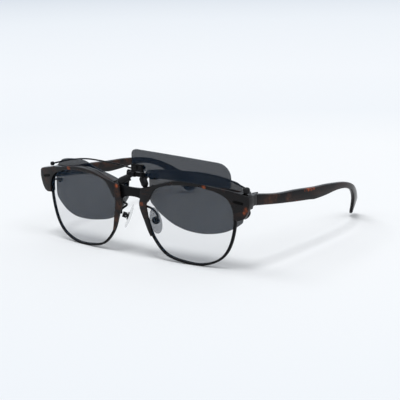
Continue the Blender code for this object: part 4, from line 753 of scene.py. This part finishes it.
def temple_path(side):
    """Smooth stations along the temple: place, height and thickness."""
    table = np.array(TEMPLE_SHARES)
    outer = FRONT_WIDTH / 2 - RETURN_INSET
    rows = []
    for reach, middle, height, splay, tuck, thick in table:
        across = outer - TEMPLE_THICKNESS / 2 + splay * TEMPLE_SPLAY - tuck * TEMPLE_TUCK
        rows.append((across, JOINT_BACK + CLOSE_GAP + reach * TEMPLE_REACH, middle * TEMPLE_MIDDLE,
                     height * TEMPLE_HEIGHT, thick * TEMPLE_THICKNESS))
    stations = smooth(rows, TEMPLE_STATIONS)
    stations[:, 0] *= side
    return stations


def swept_sections(places, heights, thicknesses, corner, steps, side):
    """Rounded rectangles along a path, upright, which turn inwards less than the path does.

    Heights and thicknesses are one each, or one for each place.
    """
    heights = np.broadcast_to(heights, len(places))
    thicknesses = np.broadcast_to(thicknesses, len(places))
    sections = []
    for k, (place, height, thickness) in enumerate(zip(places, heights, thicknesses)):
        onward = places[min(k + 1, len(places) - 1)] - places[max(k - 1, 0)]
        along = Vector(onward * [TEMPLE_TWIST, 1.0, 1.0]) if k else Vector((0.0, 1.0, 0.0))
        outward = along.cross(Vector((0, 0, 1))).normalized() * side
        upward = outward.cross(along).normalized() * side
        radius = min(corner, thickness * CORNER_LIMIT, height * CORNER_LIMIT)
        outline = rounded_rectangle(thickness, height, (radius,) * 4, steps)
        sections.append([Vector(place) + outward * side * x + upward * y for x, y in outline])
    return sections


def build_temple(side):
    """A temple that deepens, steps up to a slim neck, then drops and tucks in to a broad tip."""
    path = temple_path(side)
    temple = loft(swept_sections(path[:, :3], path[:, 3], path[:, 4], TEMPLE_CORNER, 2, side))
    bore_line = spaced(smooth(path[:, :3], CORE_FINE_POINTS), CORE_POINTS, CORE_END + SEAT_GAP)
    bore_line[0, 1] -= OVERRUN
    height, thickness = CORE_HEIGHT + 2 * SEAT_GAP, CORE_THICKNESS + 2 * SEAT_GAP
    bore = loft(swept_sections(bore_line, height, thickness, CLOSE_GAP, 1, side))
    return cut(temple, bore)


# Nose pads

def pad_matrix(side):
    """The pad's own frame: Z out of its soft face to the nose, X up, Y across its width."""
    top, bottom = Vector(PAD_TOP), Vector(PAD_BOTTOM)
    upward = (top - bottom).normalized()
    facing = Vector((-math.cos(PAD_SPLAY), math.sin(PAD_SPLAY), 0.0))
    facing -= upward * facing.dot(upward)
    return mirror(side) @ placed((top + bottom) / 2, facing, upward)


def build_nose_pad(side):
    """A soft oval pad, crowned towards the nose and flat behind."""
    height = (Vector(PAD_TOP) - Vector(PAD_BOTTOM)).length
    turns = [math.pi * k / PAD_RINGS for k in range(PAD_RINGS + 1)]
    pad = turned([(math.sin(turn) / 2, math.cos(turn) / 2) for turn in turns], PAD_SEGMENTS)
    for vert in pad.data.vertices:
        x, y, z = vert.co
        taper = 1 - PAD_TAPER * x
        vert.co = (x * height, y * PAD_WIDTH * taper, max(z, -PAD_BACK_SHARE / 2) * PAD_THICKNESS)
    return moved(pad, pad_matrix(side))


def build_pad_arm(side):
    """A wire that leaves the back of the rim, bows back and comes down to the pad's box."""
    wall = grown(opening_outline(), RIM_WALL / 2)
    nose_side = [point for point in wall if point[0] < OPENING_ACROSS]
    across = min(nose_side, key=lambda point: abs(point[1] - PAD_ARM_UP))[0]
    deep = RIM_SET + RIM_DEPTH + CLOSE_GAP + PAD_ARM_RADIUS
    start = on_front(across, PAD_ARM_UP, deep)
    pad = pad_matrix(LEFT)
    reach = PAD_LUG_RADIUS + SEAT_GAP + PAD_BOX_WALL
    back = -PAD_BACK_SHARE / 2 * PAD_THICKNESS
    pivot = back - CLOSE_GAP - PAD_PLATE_THICKNESS - PAD_LUG_REACH + PAD_LUG_RADIUS
    end = pad @ Vector((0, 0, pivot - reach - CLOSE_GAP - PAD_ARM_RADIUS))
    approach = end + Vector((0, PAD_ARM_RADIUS / 2, PAD_ARM_RADIUS * 4))
    route = smooth([start, PAD_ARM_BULGE, approach, end], PAD_ARM_POINTS)
    return side_tube(route, PAD_ARM_RADIUS, side)


# The clip-on

def barrel_matrix():
    """The barrel's own frame, whose Z runs along +X."""
    return placed((0.0, BARREL_BACK, BARREL_UP), (1, 0, 0))


def build_clip_barrel():
    """The waisted centre barrel, turned solid."""
    half = BARREL_LENGTH / 2
    collar = BARREL_LENGTH / 7
    waist = half - 1.5 * collar
    profile = (
        (0.0, half), (BARREL_RADIUS, half), (BARREL_RADIUS, half - collar), (BARREL_WAIST, waist),
        (BARREL_WAIST, -waist), (BARREL_RADIUS, collar - half), (BARREL_RADIUS, -half), (0.0, -half),
    )
    return moved(turned(profile, ROUND_STEPS), barrel_matrix())


def build_barrel_knob(side):
    """A domed end knob on the barrel."""
    start = BARREL_LENGTH / 2 + CLOSE_GAP
    end = start + KNOB_LENGTH
    dome = KNOB_LENGTH / 3
    profile = (
        (0.0, end), (KNOB_RADIUS - dome, end), (KNOB_RADIUS, end - dome),
        (KNOB_RADIUS, start + dome), (KNOB_RADIUS - dome / 2, start), (0.0, start),
    )
    return moved(turned(profile, ROUND_STEPS), mirror(side) @ barrel_matrix())


def leg_ends(side):
    """Top of a leg, under the barrel's collar, and its lower end over the bridge."""
    foot = on_front(LEG_ACROSS, BRIDGE_UP, BRIDGE_SET + BRIDGE_DEPTH / 2)
    foot.z += LEG_LIFT + SLEEVE_RADIUS
    top = Vector((BARREL_LENGTH * LEG_TOP_SHARE, BARREL_BACK, BARREL_UP))
    top += (foot - top).normalized() * (BARREL_RADIUS + LEG_RADIUS + 4 * CLOSE_GAP)
    return [mirror(side) @ point for point in (top, foot)]


def build_clip_leg(side):
    return tube(leg_ends(side), LEG_RADIUS)


def build_foot_sleeve(side):
    """The rubber sleeve on a leg's lower part, with a blind bore and a round foot."""
    top, foot = leg_ends(side)
    start = (foot - top).length * SLEEVE_SHARE
    bore = LEG_RADIUS + CLOSE_GAP
    profile = [(0.0, CLOSE_GAP), (bore, CLOSE_GAP), (bore, -start), (SLEEVE_RADIUS, -start)]
    for degrees in SLEEVE_ROUND_DEGREES:
        turn = math.radians(degrees)
        profile.append((SLEEVE_RADIUS * math.cos(turn), SLEEVE_RADIUS * math.sin(turn)))
    profile.append((0.0, SLEEVE_RADIUS))
    return moved(turned(profile), placed(foot, foot - top))


def clip_outline(side):
    """The dark lens's edge. The right one is cut lower by the nose and hangs lower."""
    shares = LEFT_LENS_SHARES if side == LEFT else RIGHT_LENS_SHARES
    size, centre = (CLIP_LENS_WIDTH, CLIP_LENS_HEIGHT), (CLIP_LENS_ACROSS, CLIP_LENS_UP)
    return shares_outline(shares, size, centre)


def drilled(solid, across, up, depth=OVERRUN):
    """The flat solid with a hole through it for a rivet."""
    radius = RIVET_RADIUS + CLOSE_GAP
    hole = turned(((0.0, depth), (radius, depth), (radius, -depth), (0.0, -depth)))
    return cut(solid, moved(hole, Matrix.Translation((across, up, 0.0))))


def build_clip_lens(side):
    half = CLIP_LENS_THICKNESS / 2
    lens = drilled(prism(clip_outline(side), -half, half), *CLIP_RIVET_PLACE[side])
    return mapped(drilled(lens, *HOOK_START), on_clip, side)


def build_clip_plate(side):
    """The small plate from the barrel's knob to the back of the dark lens."""
    front = CLIP_LENS_THICKNESS / 2 + CLOSE_GAP
    inner = BARREL_LENGTH / 2 + CLOSE_GAP + KNOB_LENGTH + CLOSE_GAP
    top = BARREL_UP + CLIP_PLATE_HEIGHT / 2
    if side == LEFT:
        inner_corner, outer_corner = CLIP_PLATE_HEIGHT / 4, CLIP_PLATE_HEIGHT / 2.1
        corners = (inner_corner, outer_corner, outer_corner, inner_corner)
        outline = rounded_rectangle(CLIP_PLATE_LENGTH, CLIP_PLATE_HEIGHT, corners, CORNER_STEPS)
        outline = outline + [inner + CLIP_PLATE_LENGTH / 2, BARREL_UP]
    else:
        bottom = CLIP_RIVET_PLACE[RIGHT][1] - CLIP_PLATE_HEIGHT / 2
        outline = np.array(RIGHT_PLATE_SHARES) * [CLIP_PLATE_LENGTH, top - bottom] + [inner, bottom]
    plate = prism(outline, front, front + CLIP_PLATE_THICKNESS)
    plate = drilled(plate, *CLIP_RIVET_PLACE[side], OVERRUN * 2)
    return mapped(plate, on_clip, side)


def rivet(grip):
    """A rivet along Z with a head at each end of its grip."""
    under = grip / 2 + CLOSE_GAP
    top = under + RIVET_HEAD
    edge = RIVET_HEAD_RADIUS - RIVET_HEAD / 2
    upper = [
        (0.0, top), (edge, top), (RIVET_HEAD_RADIUS, under + RIVET_HEAD / 2),
        (RIVET_HEAD_RADIUS, under), (RIVET_RADIUS, under),
    ]
    lower = [(radius, -height) for radius, height in reversed(upper)]
    return turned(upper + lower)


def build_clip_rivet(side):
    grip = CLIP_LENS_THICKNESS + CLOSE_GAP + CLIP_PLATE_THICKNESS
    centre = (*CLIP_RIVET_PLACE[side], (grip - CLIP_LENS_THICKNESS) / 2)
    return mapped(moved(rivet(grip), Matrix.Translation(centre)), on_clip, side)


def grip_size(side):
    """Radius and height of the rubber knob."""
    return GRIP_RADIUS * GRIP_SCALE[side], GRIP_HEIGHT * GRIP_SCALE[side]


def grip_place(side):
    """Middle of the rubber knob, just over the brow's top edge."""
    across = WIRE_ACROSS[side]
    shares = np.array(BROW_TOP_SHARES)
    up = BROW_HEIGHT * np.interp(across / (FRONT_WIDTH / 2), shares[:, 0], shares[:, 1])
    top = on_front(across, up, BROW_DEPTH / 2).z
    return Vector((across, GRIP_BACK, top + GRIP_LIFT + grip_size(side)[1] / 2))


def wire_route(side):
    """From the barrel's knob along the back of the dark lens's top edge, then on to the brow."""
    behind = CLIP_LENS_THICKNESS / 2 + WIRE_BEHIND_GAP + WIRE_RADIUS
    reach = WIRE_ACROSS[side]
    height = CLIP_LENS_UP + CLIP_LENS_HEIGHT / 2 - WIRE_DROP
    shares = WIRE_ROUTE_SHARES + WIRE_END_SHARES[side]
    lens_line = [on_clip(across * reach, up * height, behind) for across, up in shares]
    back = lens_line[0].y - BARREL_BACK
    rise = math.sqrt(KNOB_RADIUS ** 2 - back ** 2) + SEAT_GAP + WIRE_RADIUS
    knob_middle = BARREL_LENGTH / 2 + CLOSE_GAP + KNOB_LENGTH / 2
    start = Vector((knob_middle, lens_line[0].y, BARREL_UP + rise))
    tip = grip_place(side)
    radius, tall = grip_size(side)
    approach = tip + Vector((-radius * GRIP_APPROACH, radius / 2, tall / 5))
    return smooth([start, *lens_line, approach, tip], WIRE_POINTS)


def build_clip_wire(side):
    return side_tube(wire_route(side), WIRE_RADIUS, side)


def build_upper_grip(side):
    """The rubber knob on the wire's end, bored for it, that rests on the brow."""
    radius, tall = grip_size(side)
    profile = [(radius * share, tall / 2 * height) for share, height in GRIP_SHARES]
    grip = moved(turned(profile), Matrix.Translation(grip_place(side)))
    route = wire_route(side)
    onward = route[-1] - route[-2]
    route[-1] += onward / np.linalg.norm(onward) * CLOSE_GAP
    bore = baked(tube(route[-GRIP_BORE_POINTS:], WIRE_RADIUS + GRIP_BORE_GAP))
    return moved(cut(grip, bore), mirror(side))


def build_lower_hook(side):
    """A spring wire from the back of the dark lens out round the brow's lower lobe."""
    across, up = HOOK_START
    start = on_clip(across, up, CLIP_LENS_THICKNESS / 2 + 3 * CLOSE_GAP + RIVET_HEAD + HOOK_RADIUS)
    return side_tube(smooth([start, *HOOK_ROUTE], HOOK_POINTS), HOOK_RADIUS, side)


def build_hook_rivet(side):
    centre = Matrix.Translation((*HOOK_START, 0.0))
    return mapped(moved(rivet(CLIP_LENS_THICKNESS), centre), on_clip, side)


# The lens that flips

def build_flip_lens():
    """The flip lens: a wide plate, notched at its inner lower corner for the hinge."""
    half = FLIP_LENS_THICKNESS / 2
    corners = (FLIP_LOWER_CORNER, FLIP_LOWER_CORNER, FLIP_OUTER_CORNER, FLIP_INNER_CORNER)
    middle = FLIP_LENS_BOTTOM + FLIP_LENS_HEIGHT / 2
    outline = rounded_rectangle(FLIP_LENS_WIDTH, FLIP_LENS_HEIGHT, corners, FLIP_CORNER_STEPS)
    fall = (outline[:, 0] / FLIP_LENS_WIDTH + 1 / 2) * (outline[:, 1] / FLIP_LENS_HEIGHT + 1 / 2)
    outline[:, 1] -= fall * FLIP_LENS_FALL
    outline += [FLIP_LENS_ACROSS, middle]
    lens = prism(outline, -half, half)
    notch_top = FLIP_LENS_BOTTOM + FLIP_NOTCH_RISE
    lens = cut(lens, box((-OVERRUN, 0.0, -OVERRUN), (FLIP_NOTCH_ACROSS, notch_top, OVERRUN)))
    for across in FLIP_RIVET_ACROSS:
        lens = drilled(lens, across, FLIP_RIVET_UP)
    return mapped(lens, on_flip, LEFT)


def build_flip_rivet(across):
    grip = FLIP_LENS_THICKNESS + SEAT_GAP + CLOSE_GAP + FLIP_LUG_THICKNESS + CLOSE_GAP
    centre = on_flip(across, FLIP_RIVET_UP, (FLIP_LENS_THICKNESS - grip) / 2)
    return moved(rivet(grip), placed(centre, (0, 1, 0)))


# Materials

# Where the tortoise shows colour: x, y, z and a radius in mm
BROW_FLECKS = {
    LEFT: (
        (47.2, -67.5, 43.5, 1.5), (70.6, -63.7, 33.8, 1.8), (69.8, -63.8, 31.8, 1.3),
        (7.8, -69.9, 30.4, 1.5),
    ),
    RIGHT: (
        (-46.0, -67.6, 44.3, 1.7), (-9.2, -70.1, 38.4, 1.6),
    ),
}
BROW_BROWNS = {
    LEFT: (),
    RIGHT: (
        (-7.6, -69.8, 28.0, 3.5), (-10.4, -69.3, 19.0, 3.5), (-12.6, -69.0, 14.0, 3.5),
        (-9.0, -69.6, 34.5, 3.0),
    ),
}
TEMPLE_FLECKS = {
    LEFT: (
        (74.4, -11.0, 34.3, 1.8), (74.8, -8.2, 34.2, 1.9), (75.0, -5.2, 34.0, 1.9),
        (75.2, -2.4, 33.8, 1.7), (73.9, -19.8, 29.3, 1.2),
    ),
    RIGHT: (),
}
TEMPLE_BROWNS = {
    LEFT: (
        (72.9, -43.8, 34.8, 4.0), (72.5, -47.2, 33.9, 4.0), (73.4, -38.6, 35.9, 4.0),
        (73.4, -28.0, 33.0, 3.0),
    ),
    RIGHT: (
        (-72.7, -23.7, 36.0, 5.0), (-72.0, -15.2, 35.2, 4.5), (-72.5, -5.2, 34.2, 4.5),
        (-73.0, 5.9, 33.4, 4.5), (-73.1, 17.0, 32.2, 4.5),
    ),
}
# The share of a fleck's radius within which it is whole
FLECK_CORE = 0.2
ORANGE = (0.42, 0.085, 0.02)
AMBER = (0.062, 0.024, 0.013)
BROWN = (0.018, 0.009, 0.007)
BLACK = (0.0045, 0.004, 0.0045)
BUMP_DEPTH = 0.1 * MM
GRAZING_POWER = 5.0


def shader_material(name, **values):
    material = bpy.data.materials.new(name)
    material.use_nodes = True
    shader = material.node_tree.nodes["Principled BSDF"]
    for key, value in values.items():
        shader.inputs[key.replace("_", " ")].default_value = value
    return material, material.node_tree, shader


def add_node(tree, kind, inputs, **settings):
    """A node, with each of its inputs set to a value or linked to a socket."""
    item = tree.nodes.new(kind)
    for key, value in settings.items():
        setattr(item, key, value)
    for key, value in inputs.items():
        if isinstance(value, bpy.types.NodeSocket):
            tree.links.new(value, item.inputs[key])
        else:
            item.inputs[key].default_value = value
    return item


def object_place(tree):
    return add_node(tree, "ShaderNodeTexCoord", {}).outputs["Object"]


def noise(tree, scale, detail=3.0, roughness=0.5, stretch=(1.0, 1.0, 1.0), distortion=0.0, turn=0.0):
    """A noise texture in object space, whose scale is given per metre."""
    mapping = add_node(tree, "ShaderNodeMapping", {
        "Vector": object_place(tree), "Scale": stretch, "Rotation": (turn, 0.0, 0.0)})
    return add_node(tree, "ShaderNodeTexNoise", {
        "Vector": mapping.outputs["Vector"], "Scale": scale, "Detail": detail,
        "Roughness": roughness, "Distortion": distortion}).outputs["Fac"]


def ramp(tree, source, stops):
    item = add_node(tree, "ShaderNodeValToRGB", {"Fac": source})
    while len(item.color_ramp.elements) < len(stops):
        item.color_ramp.elements.new(0.5)
    for element, (position, color) in zip(item.color_ramp.elements, stops):
        element.position = position
        element.color = (*color, 1.0)
    return item.outputs["Color"]


def spread(tree, source, low, high, start=0.3, end=0.7):
    """The source's range from start to end, spread from a low value to a high one."""
    return add_node(tree, "ShaderNodeMapRange", {
        "Value": source, "From Min": start, "From Max": end, "To Min": low, "To Max": high,
    }).outputs["Result"]


def math_node(tree, operation, first, second):
    item = add_node(tree, "ShaderNodeMath", {0: first, 1: second}, operation=operation)
    return item.outputs["Value"]


def bump(tree, shader, height, strength, distance):
    item = add_node(
        tree, "ShaderNodeBump", {"Height": height, "Strength": strength, "Distance": distance})
    tree.links.new(item.outputs["Normal"], shader.inputs["Normal"])


def near_places(tree, places):
    """One near any of the places, each x, y, z and a radius in mm, and zero away from them."""
    point = object_place(tree)
    total = None
    for *place, radius in places:
        distance = distance_from(tree, point, Vector(place) * MM)
        share = spread(tree, distance, 1.0, 0.0, radius * MM * FLECK_CORE, radius * MM)
        total = share if total is None else math_node(tree, "MAXIMUM", total, share)
    return total


def distance_from(tree, point, centre):
    item = add_node(tree, "ShaderNodeVectorMath", {0: point, 1: centre}, operation="DISTANCE")
    return item.outputs["Value"]


def flecked(tree, color, places, fleck):
    """The colour with ragged flecks of another at the places."""
    if not places:
        return color
    ragged = spread(tree, noise(tree, 420, roughness=0.6), 0.0, 1.0, 0.35, 0.6)
    share = math_node(tree, "MULTIPLY", near_places(tree, places), ragged)
    mixed = add_node(tree, "ShaderNodeMix", {0: share, 6: color, 7: (*fleck, 1.0)}, data_type="RGBA")
    return mixed.outputs[2]


def acetate(name, flecks, browns, roughness, gloss):
    """The finish of dark tortoise acetate: near black, with brown clouds and a few orange flecks."""
    material, tree, shader = shader_material(name, IOR=1.49, Specular_IOR_Level=gloss)
    cloud = noise(tree, 110, roughness=0.55, stretch=(1.0, 0.5, 1.5), distortion=0.9, turn=0.6)
    color = ramp(tree, cloud, ((0.5, BLACK), (0.64, BROWN), (0.92, AMBER)))
    color = flecked(tree, flecked(tree, color, browns, AMBER), flecks, ORANGE)
    tree.links.new(color, shader.inputs["Base Color"])
    fine = noise(tree, 900, detail=2, roughness=0.6)
    uneven = spread(tree, fine, roughness - 0.03, roughness + 0.05)
    tree.links.new(uneven, shader.inputs["Roughness"])
    bump(tree, shader, noise(tree, 260, detail=2), 0.04, BUMP_DEPTH)
    return material, "tortoise_acetate"


def vary(tree, shader, source, color, change, roughness, start=0.3):
    """A base colour and a roughness that each follow a texture from a lower value to a higher."""
    stops = [(place, tuple(min(1.0, value * factor) for value in color))
             for place, factor in ((start, 1 - change), (1 - start, 1 + change))]
    tree.links.new(ramp(tree, source, stops), shader.inputs["Base Color"])
    tree.links.new(spread(tree, source, *roughness), shader.inputs["Roughness"])


def metal(name, color, roughness, metallic=1.0, gloss=0.5):
    """Painted or polished metal with a fine grain."""
    material, tree, shader = shader_material(name, Metallic=metallic, Specular_IOR_Level=gloss)
    grain = noise(tree, 2400, roughness=0.6)
    vary(tree, shader, grain, color, 0.15, (roughness - 0.05, roughness + 0.06))
    bump(tree, shader, grain, 0.05, 0.03 * MM)
    return material


def lens_material(name, color, alpha, edge_alpha, gloss=0.5, roughness=0.03):
    """A thin lens: each face holds back a share of the light, and more of it at a grazing angle."""
    material, tree, shader = shader_material(name, IOR=1.5, Specular_IOR_Level=gloss)
    vary(tree, shader, noise(tree, 45, detail=2), color, 0.08, (roughness, roughness + 0.02), 0.35)
    facing = add_node(tree, "ShaderNodeLayerWeight", {"Blend": 0.5})
    steep = math_node(tree, "POWER", facing.outputs["Facing"], GRAZING_POWER)
    tree.links.new(spread(tree, steep, alpha, edge_alpha, 0.0, 1.0), shader.inputs["Alpha"])
    return material


def soft_material(name, color, roughness, alpha=1.0, grain=1500, strength=0.15, gloss=0.5):
    """Rubber or silicone with a fine matt grain."""
    material, tree, shader = shader_material(name, Alpha=alpha, Specular_IOR_Level=gloss)
    speck = noise(tree, grain, roughness=0.6)
    vary(tree, shader, speck, color, 0.07, (roughness - 0.04, roughness + 0.06))
    bump(tree, shader, speck, strength, BUMP_DEPTH)
    return material


# Pieces in the places of their nodes

def show(item, node, finish):
    """Finishes a piece that stands for a node and rides on the node's body."""
    if item.type == "CURVE":
        item = baked(item)
    material, slot = finish
    item.name = "fine_" + node
    item.data.name = item.name
    item.data.transform(Matrix.Translation(SHIFT))
    item.data.materials.clear()
    item.data.materials.append(material)
    item.data.shade_smooth()
    item.data.set_sharp_from_angle(angle=SHARP_ANGLE)
    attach(item, frame["nodes"][node]["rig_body"])
    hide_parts(node)


def side_pieces(side):
    """The builder of each piece that both sides have, named after its node, and its finish."""
    brow_tortoise = acetate(
        side_name("brow_tortoise", side), BROW_FLECKS[side], BROW_BROWNS[side],
        roughness=0.12, gloss=0.2)
    temple_tortoise = acetate(
        side_name("temple_tortoise", side), TEMPLE_FLECKS[side], TEMPLE_BROWNS[side],
        roughness=0.2, gloss=0.1)
    return (
        (build_brow, brow_tortoise), (build_rim, black_metal), (build_lens, clear_glass),
        (build_end_inlay, dark_inlay), (build_temple, temple_tortoise), (build_pad_arm, black_metal),
        # The near pad has a copy of the clear silicone with painted shade
        (build_nose_pad, painted_shade_silicone if side == LEFT else clear_silicone),
        (build_barrel_knob, black_metal), (build_clip_leg, black_metal), (build_foot_sleeve, rubber),
        (build_clip_lens, dark_glass), (build_clip_plate, black_metal),
        (build_clip_rivet, black_metal), (build_clip_wire, black_metal), (build_upper_grip, rubber),
        (build_lower_hook, black_metal), (build_hook_rivet, black_metal),
    )


# Each finish is a material and the record's slot that it comes from
black_metal = (
    metal("black_metal_fine", (0.005, 0.005, 0.006), 0.32, metallic=0.0, gloss=0.09), "black_metal")
dark_inlay = (
    metal("inlay_fine", (0.003, 0.003, 0.003), 0.3, metallic=0.0, gloss=0.05), "polished_steel")
clear_glass = (
    lens_material("clear_glass", (0.026, 0.062, 0.115), alpha=0.086, edge_alpha=0.9), "clear_lens")
dark_glass = (
    lens_material("dark_glass", (0.002, 0.009, 0.021), alpha=0.72, edge_alpha=0.97, gloss=0.12),
    "dark_lens")
clear_silicone = (
    soft_material("silicone_clear", (0.9, 0.92, 0.93), 0.34, alpha=0.25, grain=700, strength=0.08),
    "clear_silicone")
# The near pad's silicone: the clear silicone painted darker and less see-through, as painted shade
# for the front's shade over it
painted_shade_silicone = (
    soft_material("silicone_smoky", (0.2, 0.21, 0.24), 0.34, alpha=0.5, grain=700, strength=0.08),
    "clear_silicone")
rubber = (soft_material("rubber_fine", (0.006, 0.006, 0.007), 0.55, gloss=0.2), "black_rubber")
steel = metal("steel_fine", (0.2, 0.2, 0.21), 0.3)

for side in (LEFT, RIGHT):
    for build, finish in side_pieces(side):
        kind = build.__name__.removeprefix("build_")
        show(build(side), side_name(kind, side), finish)
show(build_bridge(), "bridge", black_metal)
show(build_clip_barrel(), "clip_barrel", black_metal)
show(build_flip_lens(), "flip_lens", dark_glass)
for across, node in zip(FLIP_RIVET_ACROSS, ("flip_rivet_inner", "flip_rivet_outer")):
    show(build_flip_rivet(across), node, black_metal)

STEEL_NODES = ("hinge_screw", "pad_screw", "temple_core")
for name, node in frame["nodes"].items():
    if node.hide_render:
        continue
    kind = name.removesuffix("_left").removesuffix("_right")
    node.data.materials.clear()
    node.data.materials.append(steel if kind in STEEL_NODES else black_metal[0])
    add_bevel(node, SMALL_ROUNDING, 2, SHARP_ANGLE).harden_normals = True


# Camera, floor and light

def place_camera():
    data = bpy.data.cameras.new("camera")
    data.sensor_width = SENSOR_WIDTH
    data.lens = FOCAL_PIXELS / PHOTO_PIXELS * SENSOR_WIDTH
    data.clip_start, data.clip_end = CAMERA_CLIP
    azimuth, elevation, roll = CAMERA_TURNS
    level = math.cos(elevation)
    back = Vector((math.sin(azimuth) * level, -math.cos(azimuth) * level, math.sin(elevation)))
    right = Vector((math.cos(azimuth), math.sin(azimuth), 0.0))
    rolled = right * math.cos(roll) + back.cross(right) * math.sin(roll)
    scene.camera = linked(data, "camera")
    scene.camera.matrix_world = placed(
        CAMERA_TARGET + SHIFT + back * CAMERA_DISTANCE, back, rolled)


def place_floor():
    """A pale floor, with painted shade that makes it a little greyer far away and in a faint ring."""
    bpy.ops.mesh.primitive_plane_add(size=FLOOR_SIZE, location=(0.0, 0.0, 0.0))
    floor = bpy.context.object
    floor.name = "floor"
    material, tree, shader = shader_material("floor", Roughness=0.9, Specular_IOR_Level=0.0)
    away = distance_from(tree, object_place(tree), FLOOR_CENTER)
    reach = FLOOR_COLOR_AND_SHADE[-1][0]
    share = spread(tree, away, 0.0, 1.0, 0.0, reach)
    # The floor's pale colour with painted shade, darker further from the centre
    color = ramp(tree, share, [(distance / reach, tone) for distance, tone in FLOOR_COLOR_AND_SHADE])
    tree.links.new(color, shader.inputs["Base Color"])
    floor.data.materials.append(material)


def place_suns():
    """Soft lights overhead: a strong one and a fan of weak ones, each leaned a little."""
    for number, (power, tilt, lean) in enumerate(SUNS):
        data = bpy.data.lights.new(f"overhead_{number}", "SUN")
        data.energy = power
        data.angle = SUN_ANGLE
        lamp = linked(data, data.name)
        aside, backward = math.tan(math.radians(tilt)), math.tan(math.radians(lean))
        lamp.rotation_euler = Vector((aside, backward, -1.0)).to_track_quat("-Z", "Y").to_euler()


place_camera()
place_floor()
place_suns()

world = bpy.data.worlds.new("world")
scene.world = world
world.use_nodes = True
tree = world.node_tree
background = tree.nodes["Background"]
background.inputs["Color"].default_value = (*WORLD_COLOR, 1.0)
background.inputs["Strength"].default_value = WORLD_STRENGTH
backdrop = add_node(tree, "ShaderNodeBackground", {"Color": (*BACKDROP_COLOR, 1.0)})
rays = add_node(tree, "ShaderNodeLightPath", {})
seen = math_node(tree, "MAXIMUM", rays.outputs["Is Camera Ray"], rays.outputs["Is Glossy Ray"])
seen = math_node(tree, "MAXIMUM", seen, rays.outputs["Is Transmission Ray"])
either = add_node(tree, "ShaderNodeMixShader", {
    "Fac": seen, 1: background.outputs["Background"], 2: backdrop.outputs["Background"]})
tree.links.new(either.outputs["Shader"], tree.nodes["World Output"].inputs["Surface"])
scene.view_settings.view_transform = "Standard"
